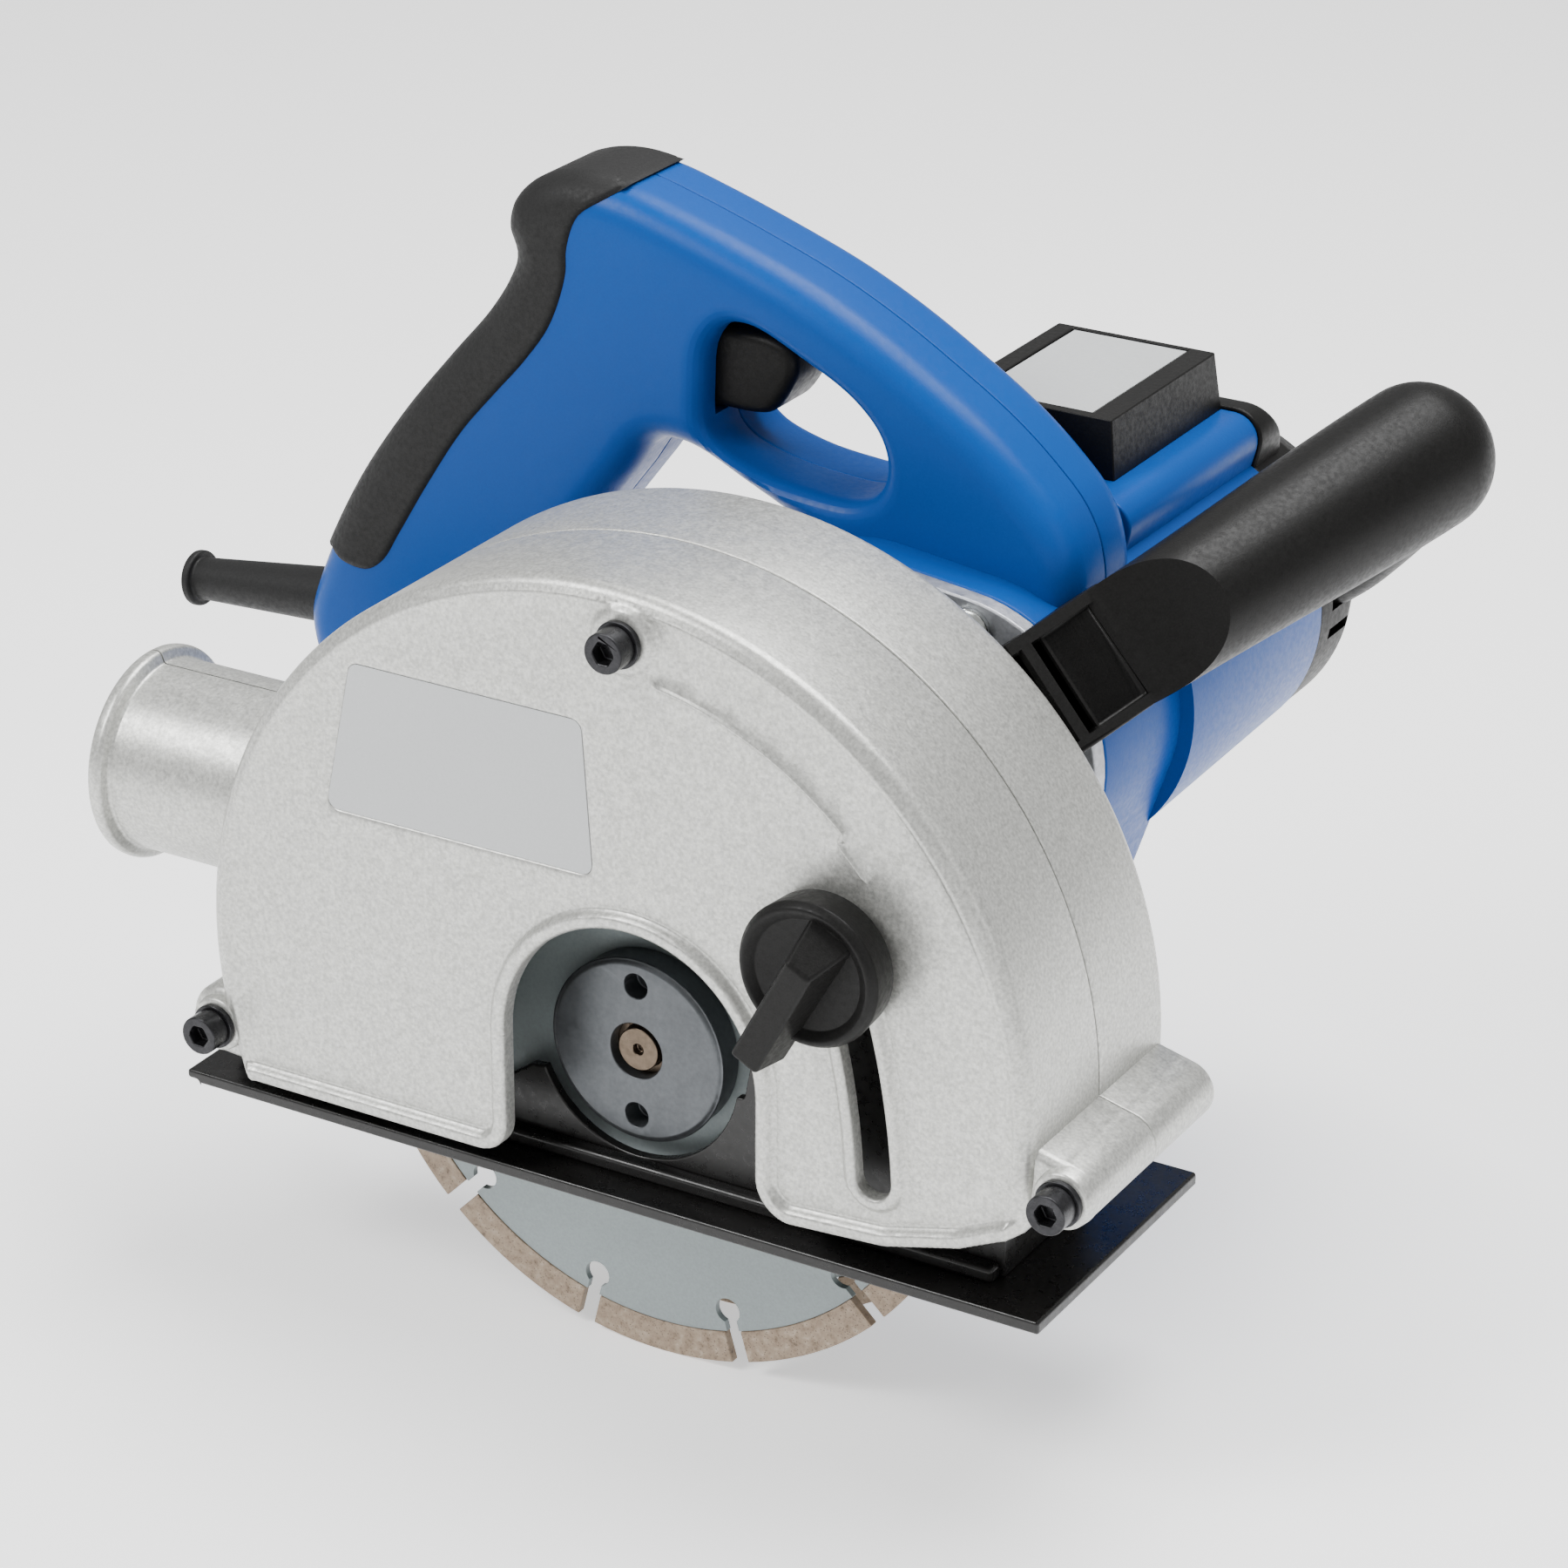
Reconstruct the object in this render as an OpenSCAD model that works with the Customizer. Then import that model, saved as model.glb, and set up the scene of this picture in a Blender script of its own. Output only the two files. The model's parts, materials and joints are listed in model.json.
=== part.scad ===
// Wall chaser: twin diamond blades in a two-part guard, driven through a two-stage
// gear train by a motor that lies parallel to the spindle, above and in front of it.
// Frame: origin on the spindle axis at the flange nut's outer face. +X is forward,
// +Y runs from the cover towards the motor, +Z is up. Millimetres.

/* [Guard] */
// Radius of the round top of the blade guard
guard_r = 98.5; // [97:0.5:101]
// Thickness of the guard from cover face to back wall
guard_t = 58.5; // [57.5:0.5:58.5]
// Wall of the guard castings
guard_wall = 2.5; // [2:0.25:3]
// Outer diameter of the dust port
port_od = 42; // [38:1:44]
// Inner diameter of the dust port
port_id = 36; // [30:1:36]

/* [Blades] */
// Diameter of the diamond blades
blade_d = 150; // [140:1:150]
// Width of the groove, over the outside of both blades
groove_w = 26.2; // [26.2:0.1:26.2]
// Number of diamond segments on a blade
segment_count = 12; // [8:1:14]

/* [Base] */
// Length of the base plate
base_len = 209; // [200:1:212]
// Width of the base plate
base_w = 71.5; // [68:0.5:72]
// Thickness of the base plate
base_t = 3; // [2:0.5:4]

/* [Body] */
// Width of the two-part main handle
handle_w = 31; // [28:1:31]
// Radius of the grip part of the front handle
front_grip_r = 14.5; // [12:0.5:15]
// Radius of the depth knob's disc
knob_r = 15.5; // [13:0.5:17]

/* [Hidden] */
$fn = 64;
eps = 0.01;

// Y stations of the guard
face_y = -15;
split_y = 14;
back_y = face_y + guard_t;
guard_c = [1.5, 11];

// Screw and pivot places, as [x, z]
pivot = [-97, -13];
front_lug = [106.5, 2.5];
top_screw = [7.5, 99];
bolt_r = 3;

// Depth slot: an arc about the base pivot
slot_r = 162.5;
slot_half_w = 4;
slot_low = 3;
slot_high = 20.6;
clamp_at = 20.2;
clamp = pivot + slot_r * [cos(clamp_at), sin(clamp_at)];

// Dust port
port_y = split_y;
port_z = 32.5;
port_end_x = -133;
port_lip_r = port_od / 2 + 3;

// Base plate
base_x0 = -108;
base_y0 = -12;
base_top = -28;
web_y0 = 0;
web_t = 2.5;

// Blades and the parts between them
blade_r = blade_d / 2;
core_t = 1.6;
segment_t = 2.2;
segment_r = blade_r - 7.2;
segment_pitch = 360 / segment_count;
slot_phase = 16.3;
near_y = 7;
far_y = near_y + groove_w - segment_t;
nut_r = 20.5;
hub_r = 11.05;
spindle_r = 7;

// Gear train: module and tooth counts, from the spindle back to the motor
gear_m = 1.25;
z_output = 30;
z_lay_pinion = 20;
z_lay_gear = 56;
z_motor = 10;
motor = [43, 58];
motor_dist = norm(motor);
motor_dir = atan2(motor[1], motor[0]);
dist_out = gear_m * (z_output + z_lay_pinion) / 2;
dist_in = gear_m * (z_lay_gear + z_motor) / 2;
lay_turn = acos((pow(motor_dist, 2) + pow(dist_out, 2) - pow(dist_in, 2))
    / (2 * motor_dist * dist_out));
lay_dir = motor_dir - lay_turn;
lay = dist_out * [cos(lay_dir), sin(lay_dir)];
in_dir = atan2(motor[1] - lay[1], motor[0] - lay[0]);

// Y stations of the gear case and the motor
flange_y = 53.5;
collar_y = 58;
body_y = 98;
cap_y = 158;
end_y = 187;
motor_r = 37.5;
motor_wall = 3;

// Main handle
handle_y = 82.5;
hy0 = handle_y - handle_w / 2;
hy1 = handle_y + handle_w / 2;
shell_wall = 3;
relief_start = [-122, 45.6];
relief_drop = 5.4;
handle_screw_at = [[-108, 58], [-84, 105], [-44, 148], [36, 112], [46, 100]];

// ---------- helpers ----------

// Extrudes an outline drawn in X and Z from y = a to y = b
module ex(a, b) { translate([0, b, 0]) rotate([90, 0, 0]) linear_extrude(b - a) children(); }

// A rod along Y at [x, z]
module rod(p, r, a, b) {
    translate([p[0], a, p[1]]) rotate([-90, 0, 0]) cylinder(r = r, h = b - a);
}

// A ring along Y at [x, z]
module ring(p, ro, ri, a, b) {
    difference() { rod(p, ro, a, b); rod(p, ri, a - 1, b + 1); }
}

// A rod along X at the dust port's axis
module port_rod(r, a, b) {
    translate([a, port_y, port_z]) rotate([0, 90, 0]) cylinder(r = r, h = b - a);
}

// A socket head screw pointing along +Y, its head's front at y = a
module socket_screw(p, a, length, shank_r, head_r, head_h) {
    difference() {
        union() {
            rod(p, head_r, a, a + head_h);
            rod(p, shank_r, a + head_h - eps, a + head_h + length);
        }
        translate([p[0], a - 1, p[1]]) rotate([-90, 0, 0])
            cylinder(r = head_r * 0.58, h = head_h * 0.6 + 1, $fn = 6);
    }
}

// A low domed cross-recess screw pointing along +Y, its head's front at y = a
module pan_screw(p, a, length, shank_r, head_r) {
    difference() {
        union() {
            translate([p[0], a, p[1]]) rotate([-90, 0, 0])
                cylinder(r1 = head_r * 0.7, r2 = head_r, h = 1.4);
            rod(p, head_r, a + 1.4 - eps, a + 3);
            rod(p, shank_r, a + 3 - eps, a + 3 + length);
        }
        for (turn = [0, 90])
            translate([p[0], a - 1, p[1]]) rotate([0, turn, 0])
                translate([-head_r * 0.5, 0, -0.5]) cube([head_r, 2.4, 1]);
    }
}

// A spur gear's outline with short straight-sided teeth
module gear_outline(teeth, bore_r) {
    pitch_r = gear_m * teeth / 2;
    tip_r = pitch_r + 0.4 * gear_m;
    root_r = pitch_r - 0.9 * gear_m;
    difference() {
        union() {
            circle(root_r);
            for (i = [0 : teeth - 1]) rotate(i * 360 / teeth)
                polygon([[root_r - 0.4, -0.95], [tip_r, -0.42], [tip_r, 0.42], [root_r - 0.4, 0.95]]);
        }
        circle(bore_r);
    }
}

// ---------- outlines, in X and Z ----------

// The guard seen from the cover side, drawn in by inset
module guard_outline(inset) {
    intersection() {
        translate(guard_c) circle(guard_r - inset, $fn = 120);
        polygon([[-120, -23.5 + inset], [-22, -23.5 + inset], [44, -20.5 + inset],
            [68, -18.5 + inset], [85, -14 + inset], [99, -7.5 + inset], [120, 5 + inset],
            [120, 120], [-120, 120]]);
    }
}

// The room inside the guard, open at the bottom
module guard_room(inset) {
    intersection() {
        translate(guard_c) circle(guard_r - inset, $fn = 120);
        translate([-120, -60]) square([240, 180]);
    }
}

// The opening in the cover that shows the flange nut
module cover_arch(grow) {
    translate([8, 6]) circle(30 + grow);
    translate([-22 - grow, -60]) square([60 + 2 * grow, 66]);
}

// Rounded lower corners beside the opening
module arch_corners() {
    difference() {
        translate([38 - eps, -40]) square([9, 29]);
        translate([47, -11]) circle(9);
        translate([47, -60]) square([9, 60]);
    }
    difference() {
        translate([-29, -40]) square([7 + eps, 23.5]);
        translate([-29, -16.5]) circle(7);
    }
}

module slot_outline(grow) {
    translate(pivot) intersection() {
        difference() {
            circle(slot_r + slot_half_w + grow);
            circle(slot_r - slot_half_w - grow);
        }
        polygon([[0, 0], 300 * [cos(slot_low), sin(slot_low)],
            300 * [cos(slot_high), sin(slot_high)]]);
    }
    for (a = [slot_low, slot_high])
        translate(pivot + slot_r * [cos(a), sin(a)]) circle(slot_half_w + grow);
}

module front_lug_outline() {
    hull() {
        translate(front_lug) circle(6.4);
        translate([92, 5]) circle(7);
    }
}

module pivot_lug_outline() {
    hull() {
        translate(pivot) circle(8);
        translate([-86, -13]) circle(8);
    }
}

module label_outline() {
    hull() {
        translate([-56.5, 77.5]) circle(2.5);
        translate([-5, 77.2]) circle(2.5);
        translate([-3, 48.5]) circle(2.5);
        translate([-62.6, 48.5]) circle(2.5);
    }
}

// The flange of the gear case and the blue collar behind it
module case_outline(inset) {
    hull() {
        circle(26 - inset);
        translate(lay) circle(44 - inset);
        translate(motor) circle(34.3 - inset);
        translate([20, 62]) circle(33 - inset);
    }
}

// The smaller gear room in front of that flange
module gear_room_outline(inset) {
    hull() {
        circle(26 - inset);
        translate(lay) circle(22 - inset);
        translate(motor) circle(20 - inset);
    }
}

// The flat-topped ridge along the motor that carries the control box
module ridge_outline(grow) {
    hull() {
        for (x = [14, 56.3]) translate([x, 95.5]) circle(6 + grow);
        translate([20, 70]) square([36, 2]);
    }
}

// The main handle without its hand hole
module handle_outline() {
    offset(4) offset(delta = -4)
    polygon([[-124, 27], [-130, 36], [-131, 45], [-127, 58], [-116, 79], [-104, 97.5],
        [-90.5, 114], [-80, 125], [-74, 134.5], [-72, 141], [-74.3, 146], [-73, 152],
        [-66, 157.5], [-57, 160], [-46, 159.3], [-34, 156.2], [-17, 150.8], [0, 144.6],
        [14, 138], [28, 130], [42, 121], [52, 113], [58.5, 106.5], [62.6, 99], [63.2, 80],
        [20, 80], [6, 88.8], [-15, 98.6], [-36, 106.8], [-46, 94], [-57, 79.5],
        [-70, 62], [-80, 48], [-87, 36], [-92, 27]]);
}

// The hand hole that the trigger stands in
module hand_hole() {
    offset(3) offset(delta = -3)
    polygon([[-25, 109], [-21, 106.2], [-11.5, 102.6], [0, 101], [11.5, 101], [17, 104],
        [18.8, 110], [16.8, 116.5], [10.5, 123], [-1.5, 129.5], [-14, 135], [-19, 135]]);
}

// Where the soft grip covers the handle's back
module grip_region() {
    polygon([[-40, 175], [-46, 158.5], [-54.5, 152], [-57, 145], [-57, 139], [-61.5, 127],
        [-68, 117.5], [-84, 99], [-94, 84.5], [-102.5, 71], [-107, 63.5], [-112, 60.4],
        [-118, 61], [-140, 66], [-120, 175]]);
}

module trigger_outline() {
    polygon([[-33, 132.6], [-9, 131], [-5.5, 126], [-8, 116.5], [-13, 112.6], [-33, 112.6]]);
}

// ---------- guard ----------

module port_half(a, b) {
    intersection() {
        union() {
            port_rod(port_od / 2, port_end_x, -84);
            port_rod(port_lip_r, port_end_x, port_end_x + 4);
        }
        translate([-160, a, -20]) cube([90, b - a, 110]);
    }
}

module guard_cover() {
    color("silver") difference() {
        union() {
            hull() {
                ex(face_y, face_y + 0.3) guard_outline(4.5);
                ex(face_y + 1.3, face_y + 1.6) guard_outline(1.4);
                ex(face_y + 4.5, split_y) guard_outline(0);
            }
            port_half(port_y - 40, split_y);
            ex(face_y + 2, split_y) front_lug_outline();
            ex(face_y + 2, -0.6) pivot_lug_outline();
            for (p = [pivot, front_lug]) rod(p, 6, face_y, face_y + 4);
            rod(top_screw, 6.4, face_y - 1.2, face_y + 4);
            ex(face_y - 1, face_y + 1) intersection() {
                difference() { cover_arch(3); cover_arch(-eps); }
                guard_outline(3);
            }
            ex(face_y - 1, face_y + 1) slot_outline(2.6);
            // Thin raised line that steps in before the knob
            ex(face_y - 0.6, face_y + 1) translate(guard_c) {
                intersection() {
                    difference() { circle(81.5); circle(80.5); }
                    polygon([[0, 0], 120 * [cos(46), sin(46)], 120 * [cos(80), sin(80)]]);
                }
                rotate(46) translate([77.5, -0.5]) square([3.6, 1]);
            }
        }
        hull() {
            ex(face_y + guard_wall, face_y + guard_wall + 0.3) guard_room(guard_wall + 3);
            ex(face_y + guard_wall + 3, split_y + 1) guard_room(guard_wall);
        }
        port_rod(port_id / 2, port_end_x - 1, -80);
        ex(face_y - 5, face_y + 5) { cover_arch(0); arch_corners(); }
        ex(face_y - 5, face_y + 5) slot_outline(0);
        ex(face_y - 1, face_y + 0.5) label_outline();
        ex(-0.6, 3.1) {
            translate(pivot) circle(11);
            translate([-108, -40]) square([22, 20]);
        }
        for (p = [pivot, front_lug, top_screw]) rod(p, bolt_r, face_y - 3, split_y + 1);
        rod(pivot, 5.5, 3, split_y + 1);
    }
    // Screw column behind the top screw
    color("silver") ring(top_screw, 5.5, bolt_r, face_y + guard_wall, split_y);
}

module guard_housing() {
    color("silver") difference() {
        union() {
            hull() {
                ex(split_y, back_y - 4.5) guard_outline(0);
                ex(back_y - 1.5, back_y - 1.2) guard_outline(1.3);
                ex(back_y - 0.3, back_y) guard_outline(4);
            }
            port_half(split_y, port_y + 40);
            ex(split_y, back_y - 2) { front_lug_outline(); pivot_lug_outline(); }
        }
        ex(split_y - 1, back_y - 3) guard_room(guard_wall);
        port_rod(port_id / 2, port_end_x - 1, -80);
        rod([0, 0], 21.05, back_y - 6, back_y + 1);
        for (p = [pivot, front_lug]) rod(p, bolt_r, split_y - 1, back_y + 1);
    }
    color("silver") ring(top_screw, 5.5, bolt_r, split_y, back_y - 3);
}

module label_plate() {
    color("gainsboro") ex(face_y + 0.1, face_y + 0.5) offset(delta = -0.1) label_outline();
}

module cover_screws() {
    color("dimgray") {
        socket_screw(top_screw, face_y - 7.6, 42, bolt_r - 0.05, 4.3, 5);
        socket_screw(front_lug, face_y - 6.4, 46, bolt_r - 0.05, 4.3, 5);
    }
}

module cover_screw_washers() {
    color("dimgray") {
        ring(top_screw, 5, bolt_r, face_y - 2.6, face_y - 1.2);
        ring(front_lug, 5, bolt_r, face_y - 1.4, face_y);
        ring(pivot, 5, bolt_r, face_y - 1.4, face_y);
    }
}

module pivot_bolt() {
    color("dimgray") socket_screw(pivot, face_y - 6.4, 71, bolt_r - 0.05, 4.3, 5);
}

module pivot_spacer() {
    color("darkgray") ring(pivot, 5.5, bolt_r, 3, split_y);
}

module pivot_nut() {
    color("dimgray") difference() {
        translate([pivot[0], 48, pivot[1]]) rotate([-90, 0, 0]) cylinder(r = 5.8, h = 5, $fn = 6);
        rod(pivot, bolt_r, 47, 54);
    }
}

// ---------- base ----------

module base_plate() {
    slot_y0 = 3.6;
    slot_y1 = 36.6;
    slot_half_l = blade_r + 1.5;
    color([0.1, 0.1, 0.1]) difference() {
        union() {
            translate([base_x0 + 3, base_y0, base_top - base_t]) cube([base_len - 3, base_w, base_t]);
            // The back end is turned up like a sled
            translate([base_x0, base_y0, base_top - 2.2]) cube([3 + eps, base_w, 2.2]);
        }
        translate([-slot_half_l, slot_y0, base_top - 10])
            cube([2 * slot_half_l, slot_y1 - slot_y0, 20]);
    }
}

module base_bracket() {
    color([0.1, 0.1, 0.1]) difference() {
        union() {
            ex(web_y0, web_y0 + web_t) {
                polygon([[-103, base_top], [87, base_top], [87, -12], [80, 4], [66, 44],
                    [54, 53], [46, 50], [30, 18], [26, -4], [-26, -10], [-40, -20], [-90, -20]]);
                hull() {
                    translate(pivot) circle(7.5);
                    translate([-99, -24]) circle(4);
                    translate([-86, -24]) circle(4);
                }
                translate(clamp) circle(11);
            }
            translate([84.5, web_y0 + web_t - eps, base_top]) cube([2.5, 34, 17]);
        }
        rod([0, 0], 24.5, -5, 6);
        rod(pivot, bolt_r + 0.03, -5, 6);
        rod(clamp, bolt_r, -5, 6);
    }
}

module base_rear_ear() {
    color([0.1, 0.1, 0.1]) difference() {
        ex(45, 47.5) hull() {
            translate(pivot) circle(8);
            translate([-106, base_top]) square([26, 1]);
        }
        rod(pivot, bolt_r + 0.03, 40, 50);
    }
}

module depth_clamp_bolt() {
    color("dimgray") {
        rod(clamp, bolt_r - 0.05, -23.5, web_y0 + web_t);
        translate([clamp[0], web_y0 + web_t, clamp[1]]) rotate([-90, 0, 0])
            cylinder(r = 5.5, h = 3.4, $fn = 6);
    }
}

module depth_clamp_sleeve() {
    color("darkgray") ring(clamp, 6.5, bolt_r, face_y + guard_wall + 0.2, web_y0);
}

module depth_clamp_washer() {
    color("darkgray") ring(clamp, 9.5, bolt_r, face_y - 2.2, face_y - 1.2);
}

module depth_knob() {
    disc_y = face_y - 2.4;
    color([0.12, 0.12, 0.12]) difference() {
        union() {
            rod(clamp, knob_r, disc_y - 6.5, disc_y);
            translate([clamp[0], disc_y - 8, clamp[1]]) rotate([-90, 0, 0])
                cylinder(r1 = knob_r - 2, r2 = knob_r, h = 1.5 + eps);
            // Wedge-shaped grip bar, longer on its pointer side
            translate([clamp[0], disc_y - 16.5, clamp[1]]) rotate([0, -68, 0]) hull() {
                translate([-24, 0, -3]) cube([36, 9, 6]);
                translate([-24, 6, -4.5]) cube([38, 3, 9]);
            }
        }
        rod(clamp, bolt_r + 0.03, disc_y - 8.5, disc_y + 1);
    }
}

// ---------- blades and spindle ----------

module blade_slots(width, hole_r, phase) {
    for (i = [0 : segment_count - 1]) rotate(phase + i * segment_pitch) {
        translate([63, -width / 2]) square([20, width]);
        translate([63, 0]) circle(hole_r);
    }
}

module blade_core(y, phase) {
    mid = y + (segment_t - core_t) / 2;
    ex(mid, mid + core_t) difference() {
        circle(segment_r);
        circle(hub_r + 0.05);
        blade_slots(3, 2.9, phase);
    }
}

module blade_segments(y, phase) {
    ex(y, y + segment_t) difference() {
        circle(blade_r);
        circle(segment_r);
        blade_slots(4, 2.9, phase);
    }
}

module near_blade_core() { color([0.47, 0.52, 0.54]) blade_core(near_y, slot_phase); }
module near_blade_segments() { color([0.66, 0.58, 0.47]) blade_segments(near_y, slot_phase); }
module far_blade_core() { color([0.47, 0.52, 0.54]) blade_core(far_y, slot_phase + 9); }
module far_blade_segments() { color([0.66, 0.58, 0.47]) blade_segments(far_y, slot_phase + 9); }

module blade_spacers() {
    start = near_y + (segment_t + core_t) / 2;
    stop = far_y + (segment_t - core_t) / 2;
    cuts = [start, start + 3, start + 6, start + 12, stop];
    color("slategray") for (i = [0 : 3])
        ring([0, 0], 19.5, hub_r + 0.05, cuts[i] + (i > 0 ? 0.1 : 0), cuts[i + 1]);
}

module inner_flange() {
    color("slategray") {
        ring([0, 0], 21, spindle_r + 0.05, far_y + (segment_t + core_t) / 2, 38);
        ring([0, 0], hub_r, spindle_r + 0.05, 7.5, far_y + (segment_t + core_t) / 2 + eps);
    }
}

module flange_nut() {
    color([0.3, 0.33, 0.37]) difference() {
        union() {
            rod([0, 0], nut_r, 0.8, near_y + 0.3);
            translate([0, 0, 0]) rotate([-90, 0, 0]) cylinder(r1 = nut_r - 0.8, r2 = nut_r, h = 0.8 + eps);
        }
        rod([0, 0], 6.25, -1, 3.6);
        rod([0, 0], spindle_r + 0.05, 3.5, 8);
        for (z = [-15, 15]) rod([0, z], 2.75, -1, 5);
    }
}

module spindle() {
    color([0.45, 0.38, 0.3]) difference() {
        union() {
            rod([0, 0], 4.8, 0.8, 3.6);
            rod([0, 0], spindle_r, 3.6 - eps, 38);
            rod([0, 0], 9.5, 38, 38.9);
            rod([0, 0], 7.5, 38.9 - eps, 50.4);
            rod([0, 0], 8, 50.4 - eps, 57.2);
            rod([0, 0], 4, 57.2 - eps, 61.6);
        }
        rod([0, 0], 1.2, 0, 2.4);
    }
}

module output_gear() {
    color("dimgray") ex(51, 57) rotate(lay_dir) gear_outline(z_output, 8.05);
}

module gear_train_bearings() {
    color("gainsboro") {
        ring([0, 0], 17.5, 7.53, 39, 50);
        ring([0, 0], 6, 4.03, 58, 61.8);
        ring(lay, 7, 5.03, 44.8, 50.3);
        ring(lay, 7, 5.03, 70, 74.6);
    }
}

module layshaft() { color("gray") rod(lay, 5, 44.8, 74); }

module layshaft_pinion() {
    color("dimgray") ex(50.9, 57.2) translate(lay) rotate(lay_dir + 180 + 180 / z_lay_pinion)
        gear_outline(z_lay_pinion, 5.05);
}

module layshaft_gear() {
    color("dimgray") ex(63.3, 68.8) translate(lay) rotate(in_dir)
        gear_outline(z_lay_gear, 5.05);
}

module motor_pinion() {
    color("dimgray") ex(63, 69.5) translate(motor) rotate(in_dir + 180 + 180 / z_motor)
        gear_outline(z_motor, 4.05);
}

// ---------- gear case ----------

pan_at = [motor + 28.3 * [cos(80), sin(80)], [20, 62] + 27 * [cos(125), sin(125)],
    lay + 38 * [cos(-35), sin(-35)], lay + 39 * [cos(150), sin(150)]];

module gear_case() {
    color([0.72, 0.73, 0.74]) difference() {
        union() {
            rod([0, 0], 21, 38.6, back_y + 3);
            ex(back_y, flange_y + eps) gear_room_outline(0);
            ex(flange_y, collar_y) case_outline(0);
        }
        difference() {
            ex(back_y + 3.5, collar_y + 1) gear_room_outline(3);
            rod([0, 0], 21, 40, 50.3);
            rod(lay, 9.5, 40, 50.3);
        }
        rod([0, 0], 17.5, 39, 51);
        rod([0, 0], 10, 38, 40);
        rod(lay, 7, 44.8, 51);
        for (p = pan_at) rod(p, 2, flange_y - 1, collar_y + 1);
    }
}

module gear_case_screws() {
    color("gainsboro") for (p = pan_at) pan_screw(p, flange_y - 3, 4.4, 1.95, 4.5);
}

module gear_mid_plate() {
    color([0.72, 0.73, 0.74]) difference() {
        ex(collar_y, 62) case_outline(3.3);
        rod([0, 0], 6, 57, 61.8);
        rod([0, 0], 4.6, 57, 63);
        rod(lay, 6, 57, 63);
    }
}

module motor_bearing_plate() {
    color([0.72, 0.73, 0.74]) difference() {
        union() {
            ex(62, 75) case_outline(3.3);
            rod(motor, 17, 75 - eps, 79);
        }
        ex(61, 70) case_outline(6.2);
        rod(lay, 7, 70 - eps, 74.6);
        rod(motor, 14, 71, 80);
        rod(motor, 8.4, 69, 72);
    }
}

// ---------- motor ----------

module motor_housing() {
    color([0.02, 0.4, 0.75]) difference() {
        union() {
            ex(collar_y, body_y + eps) case_outline(0);
            translate([motor[0], body_y, motor[1]]) rotate([-90, 0, 0])
                cylinder(r1 = motor_r, r2 = motor_r - 1, h = cap_y - body_y);
            ex(body_y, cap_y) ridge_outline(0);
        }
        ex(collar_y - 1, body_y - motor_wall) case_outline(3.2);
        rod(motor, motor_r - motor_wall - 0.6, body_y - 5, cap_y + 1);
        ex(106, 152) intersection() {
            ridge_outline(-3);
            translate([10, 86]) square([50, 20]);
        }
    }
}

module end_cap() {
    color([0.11, 0.11, 0.11]) difference() {
        union() {
            rod(motor, motor_r - 1.3, cap_y, 177);
            translate([motor[0], 177, motor[1]]) rotate([-90, 0, 0])
                cylinder(r1 = motor_r - 1.3, r2 = motor_r - 5.5, h = end_y - 177);
            // The ridge slopes down to the round end
            difference() {
                ex(cap_y, 171) ridge_outline(0.8);
                translate([-20, 163, 106]) rotate([-40, 0, 0]) cube([120, 40, 40]);
            }
        }
        rod(motor, motor_r - 5, cap_y - 1, 180);
        // Cooling air inlets in the flat end
        for (i = [-3 : 3]) translate([motor[0] - 14, 178, motor[1] - 1.4 + i * 6.5])
            cube([28, 12, 2.8]);
        for (a = [135, 315]) rod(motor + 26 * [cos(a), sin(a)], 1.9, 176, 190);
    }
    color([0.11, 0.11, 0.11]) difference() {
        union() {
            rod(motor, 14, 165, 173);
            for (a = [45, 135]) translate([motor[0], 165, motor[1]]) rotate([0, -a, 0])
                translate([-34, 0.5, -1.5]) cube([68, 7, 3]);
        }
        rod(motor, 11, 164, 174);
    }
}

module end_cap_screws() {
    color("dimgray") for (a = [135, 315]) {
        p = motor + 26 * [cos(a), sin(a)];
        rod(p, 3.6, 187, 189);
        rod(p, 1.85, 178, 187 + eps);
    }
}

module stator_core() {
    color("gray") difference() {
        rod(motor, 33.8, 100, 142);
        rod(motor, 21.4, 99, 143);
        for (a = [45, 135, 225, 315]) translate([motor[0], 99, motor[1]]) rotate([0, -a, 0])
            translate([20, 0, -5]) cube([7, 44, 10]);
    }
}

module field_coils() {
    color([0.72, 0.4, 0.2]) for (y = [95.5, 142]) ring(motor, 31.5, 22.5, y, y + 4.5);
}

module armature_shaft() {
    color("gray") {
        rod(motor, 4, 62.6, 69.6);
        rod(motor, 6, 69.6 - eps, 79.2);
        rod(motor, 5, 79.2 - eps, 164.8);
        rod(motor, 4, 164.8 - eps, 173.6);
    }
}

module armature_core() {
    color("gray") difference() {
        rod(motor, 20.5, 101, 141);
        rod(motor, 5.05, 100, 142);
        for (i = [0 : 11]) translate([motor[0], 100, motor[1]]) rotate([0, i * 30, 0])
            translate([18.6, 0, -1]) cube([3, 42, 2]);
    }
}

module armature_windings() {
    color([0.72, 0.4, 0.2]) for (y = [95.4, 141.1]) ring(motor, 17.5, 5.05, y, y + 5.5);
}

module commutator() {
    color([0.72, 0.45, 0.25]) ring(motor, 13, 5.05, 148.5, 160);
}

module cooling_fan() {
    color("black") {
        ring(motor, 9, 5.05, 82, 93);
        ring(motor, 28.5, 8.9, 91.5, 93);
        for (i = [0 : 10]) translate([motor[0], 83, motor[1]]) rotate([0, i * 360 / 11, 0])
            translate([8.5, 0, -0.7]) cube([19, 8.6, 1.4]);
    }
}

module armature_bearings() {
    color("gainsboro") {
        ring(motor, 14, 6.03, 71, 79);
        ring(motor, 11, 4.03, 165.8, 173);
    }
}

module carbon_brushes() {
    color([0.15, 0.15, 0.15]) for (s = [-1, 1]) translate([motor[0] + s * 19, 149.6, motor[1] - 3])
        translate([-5.5, 0, 0]) cube([11, 7, 6]);
}

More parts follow.
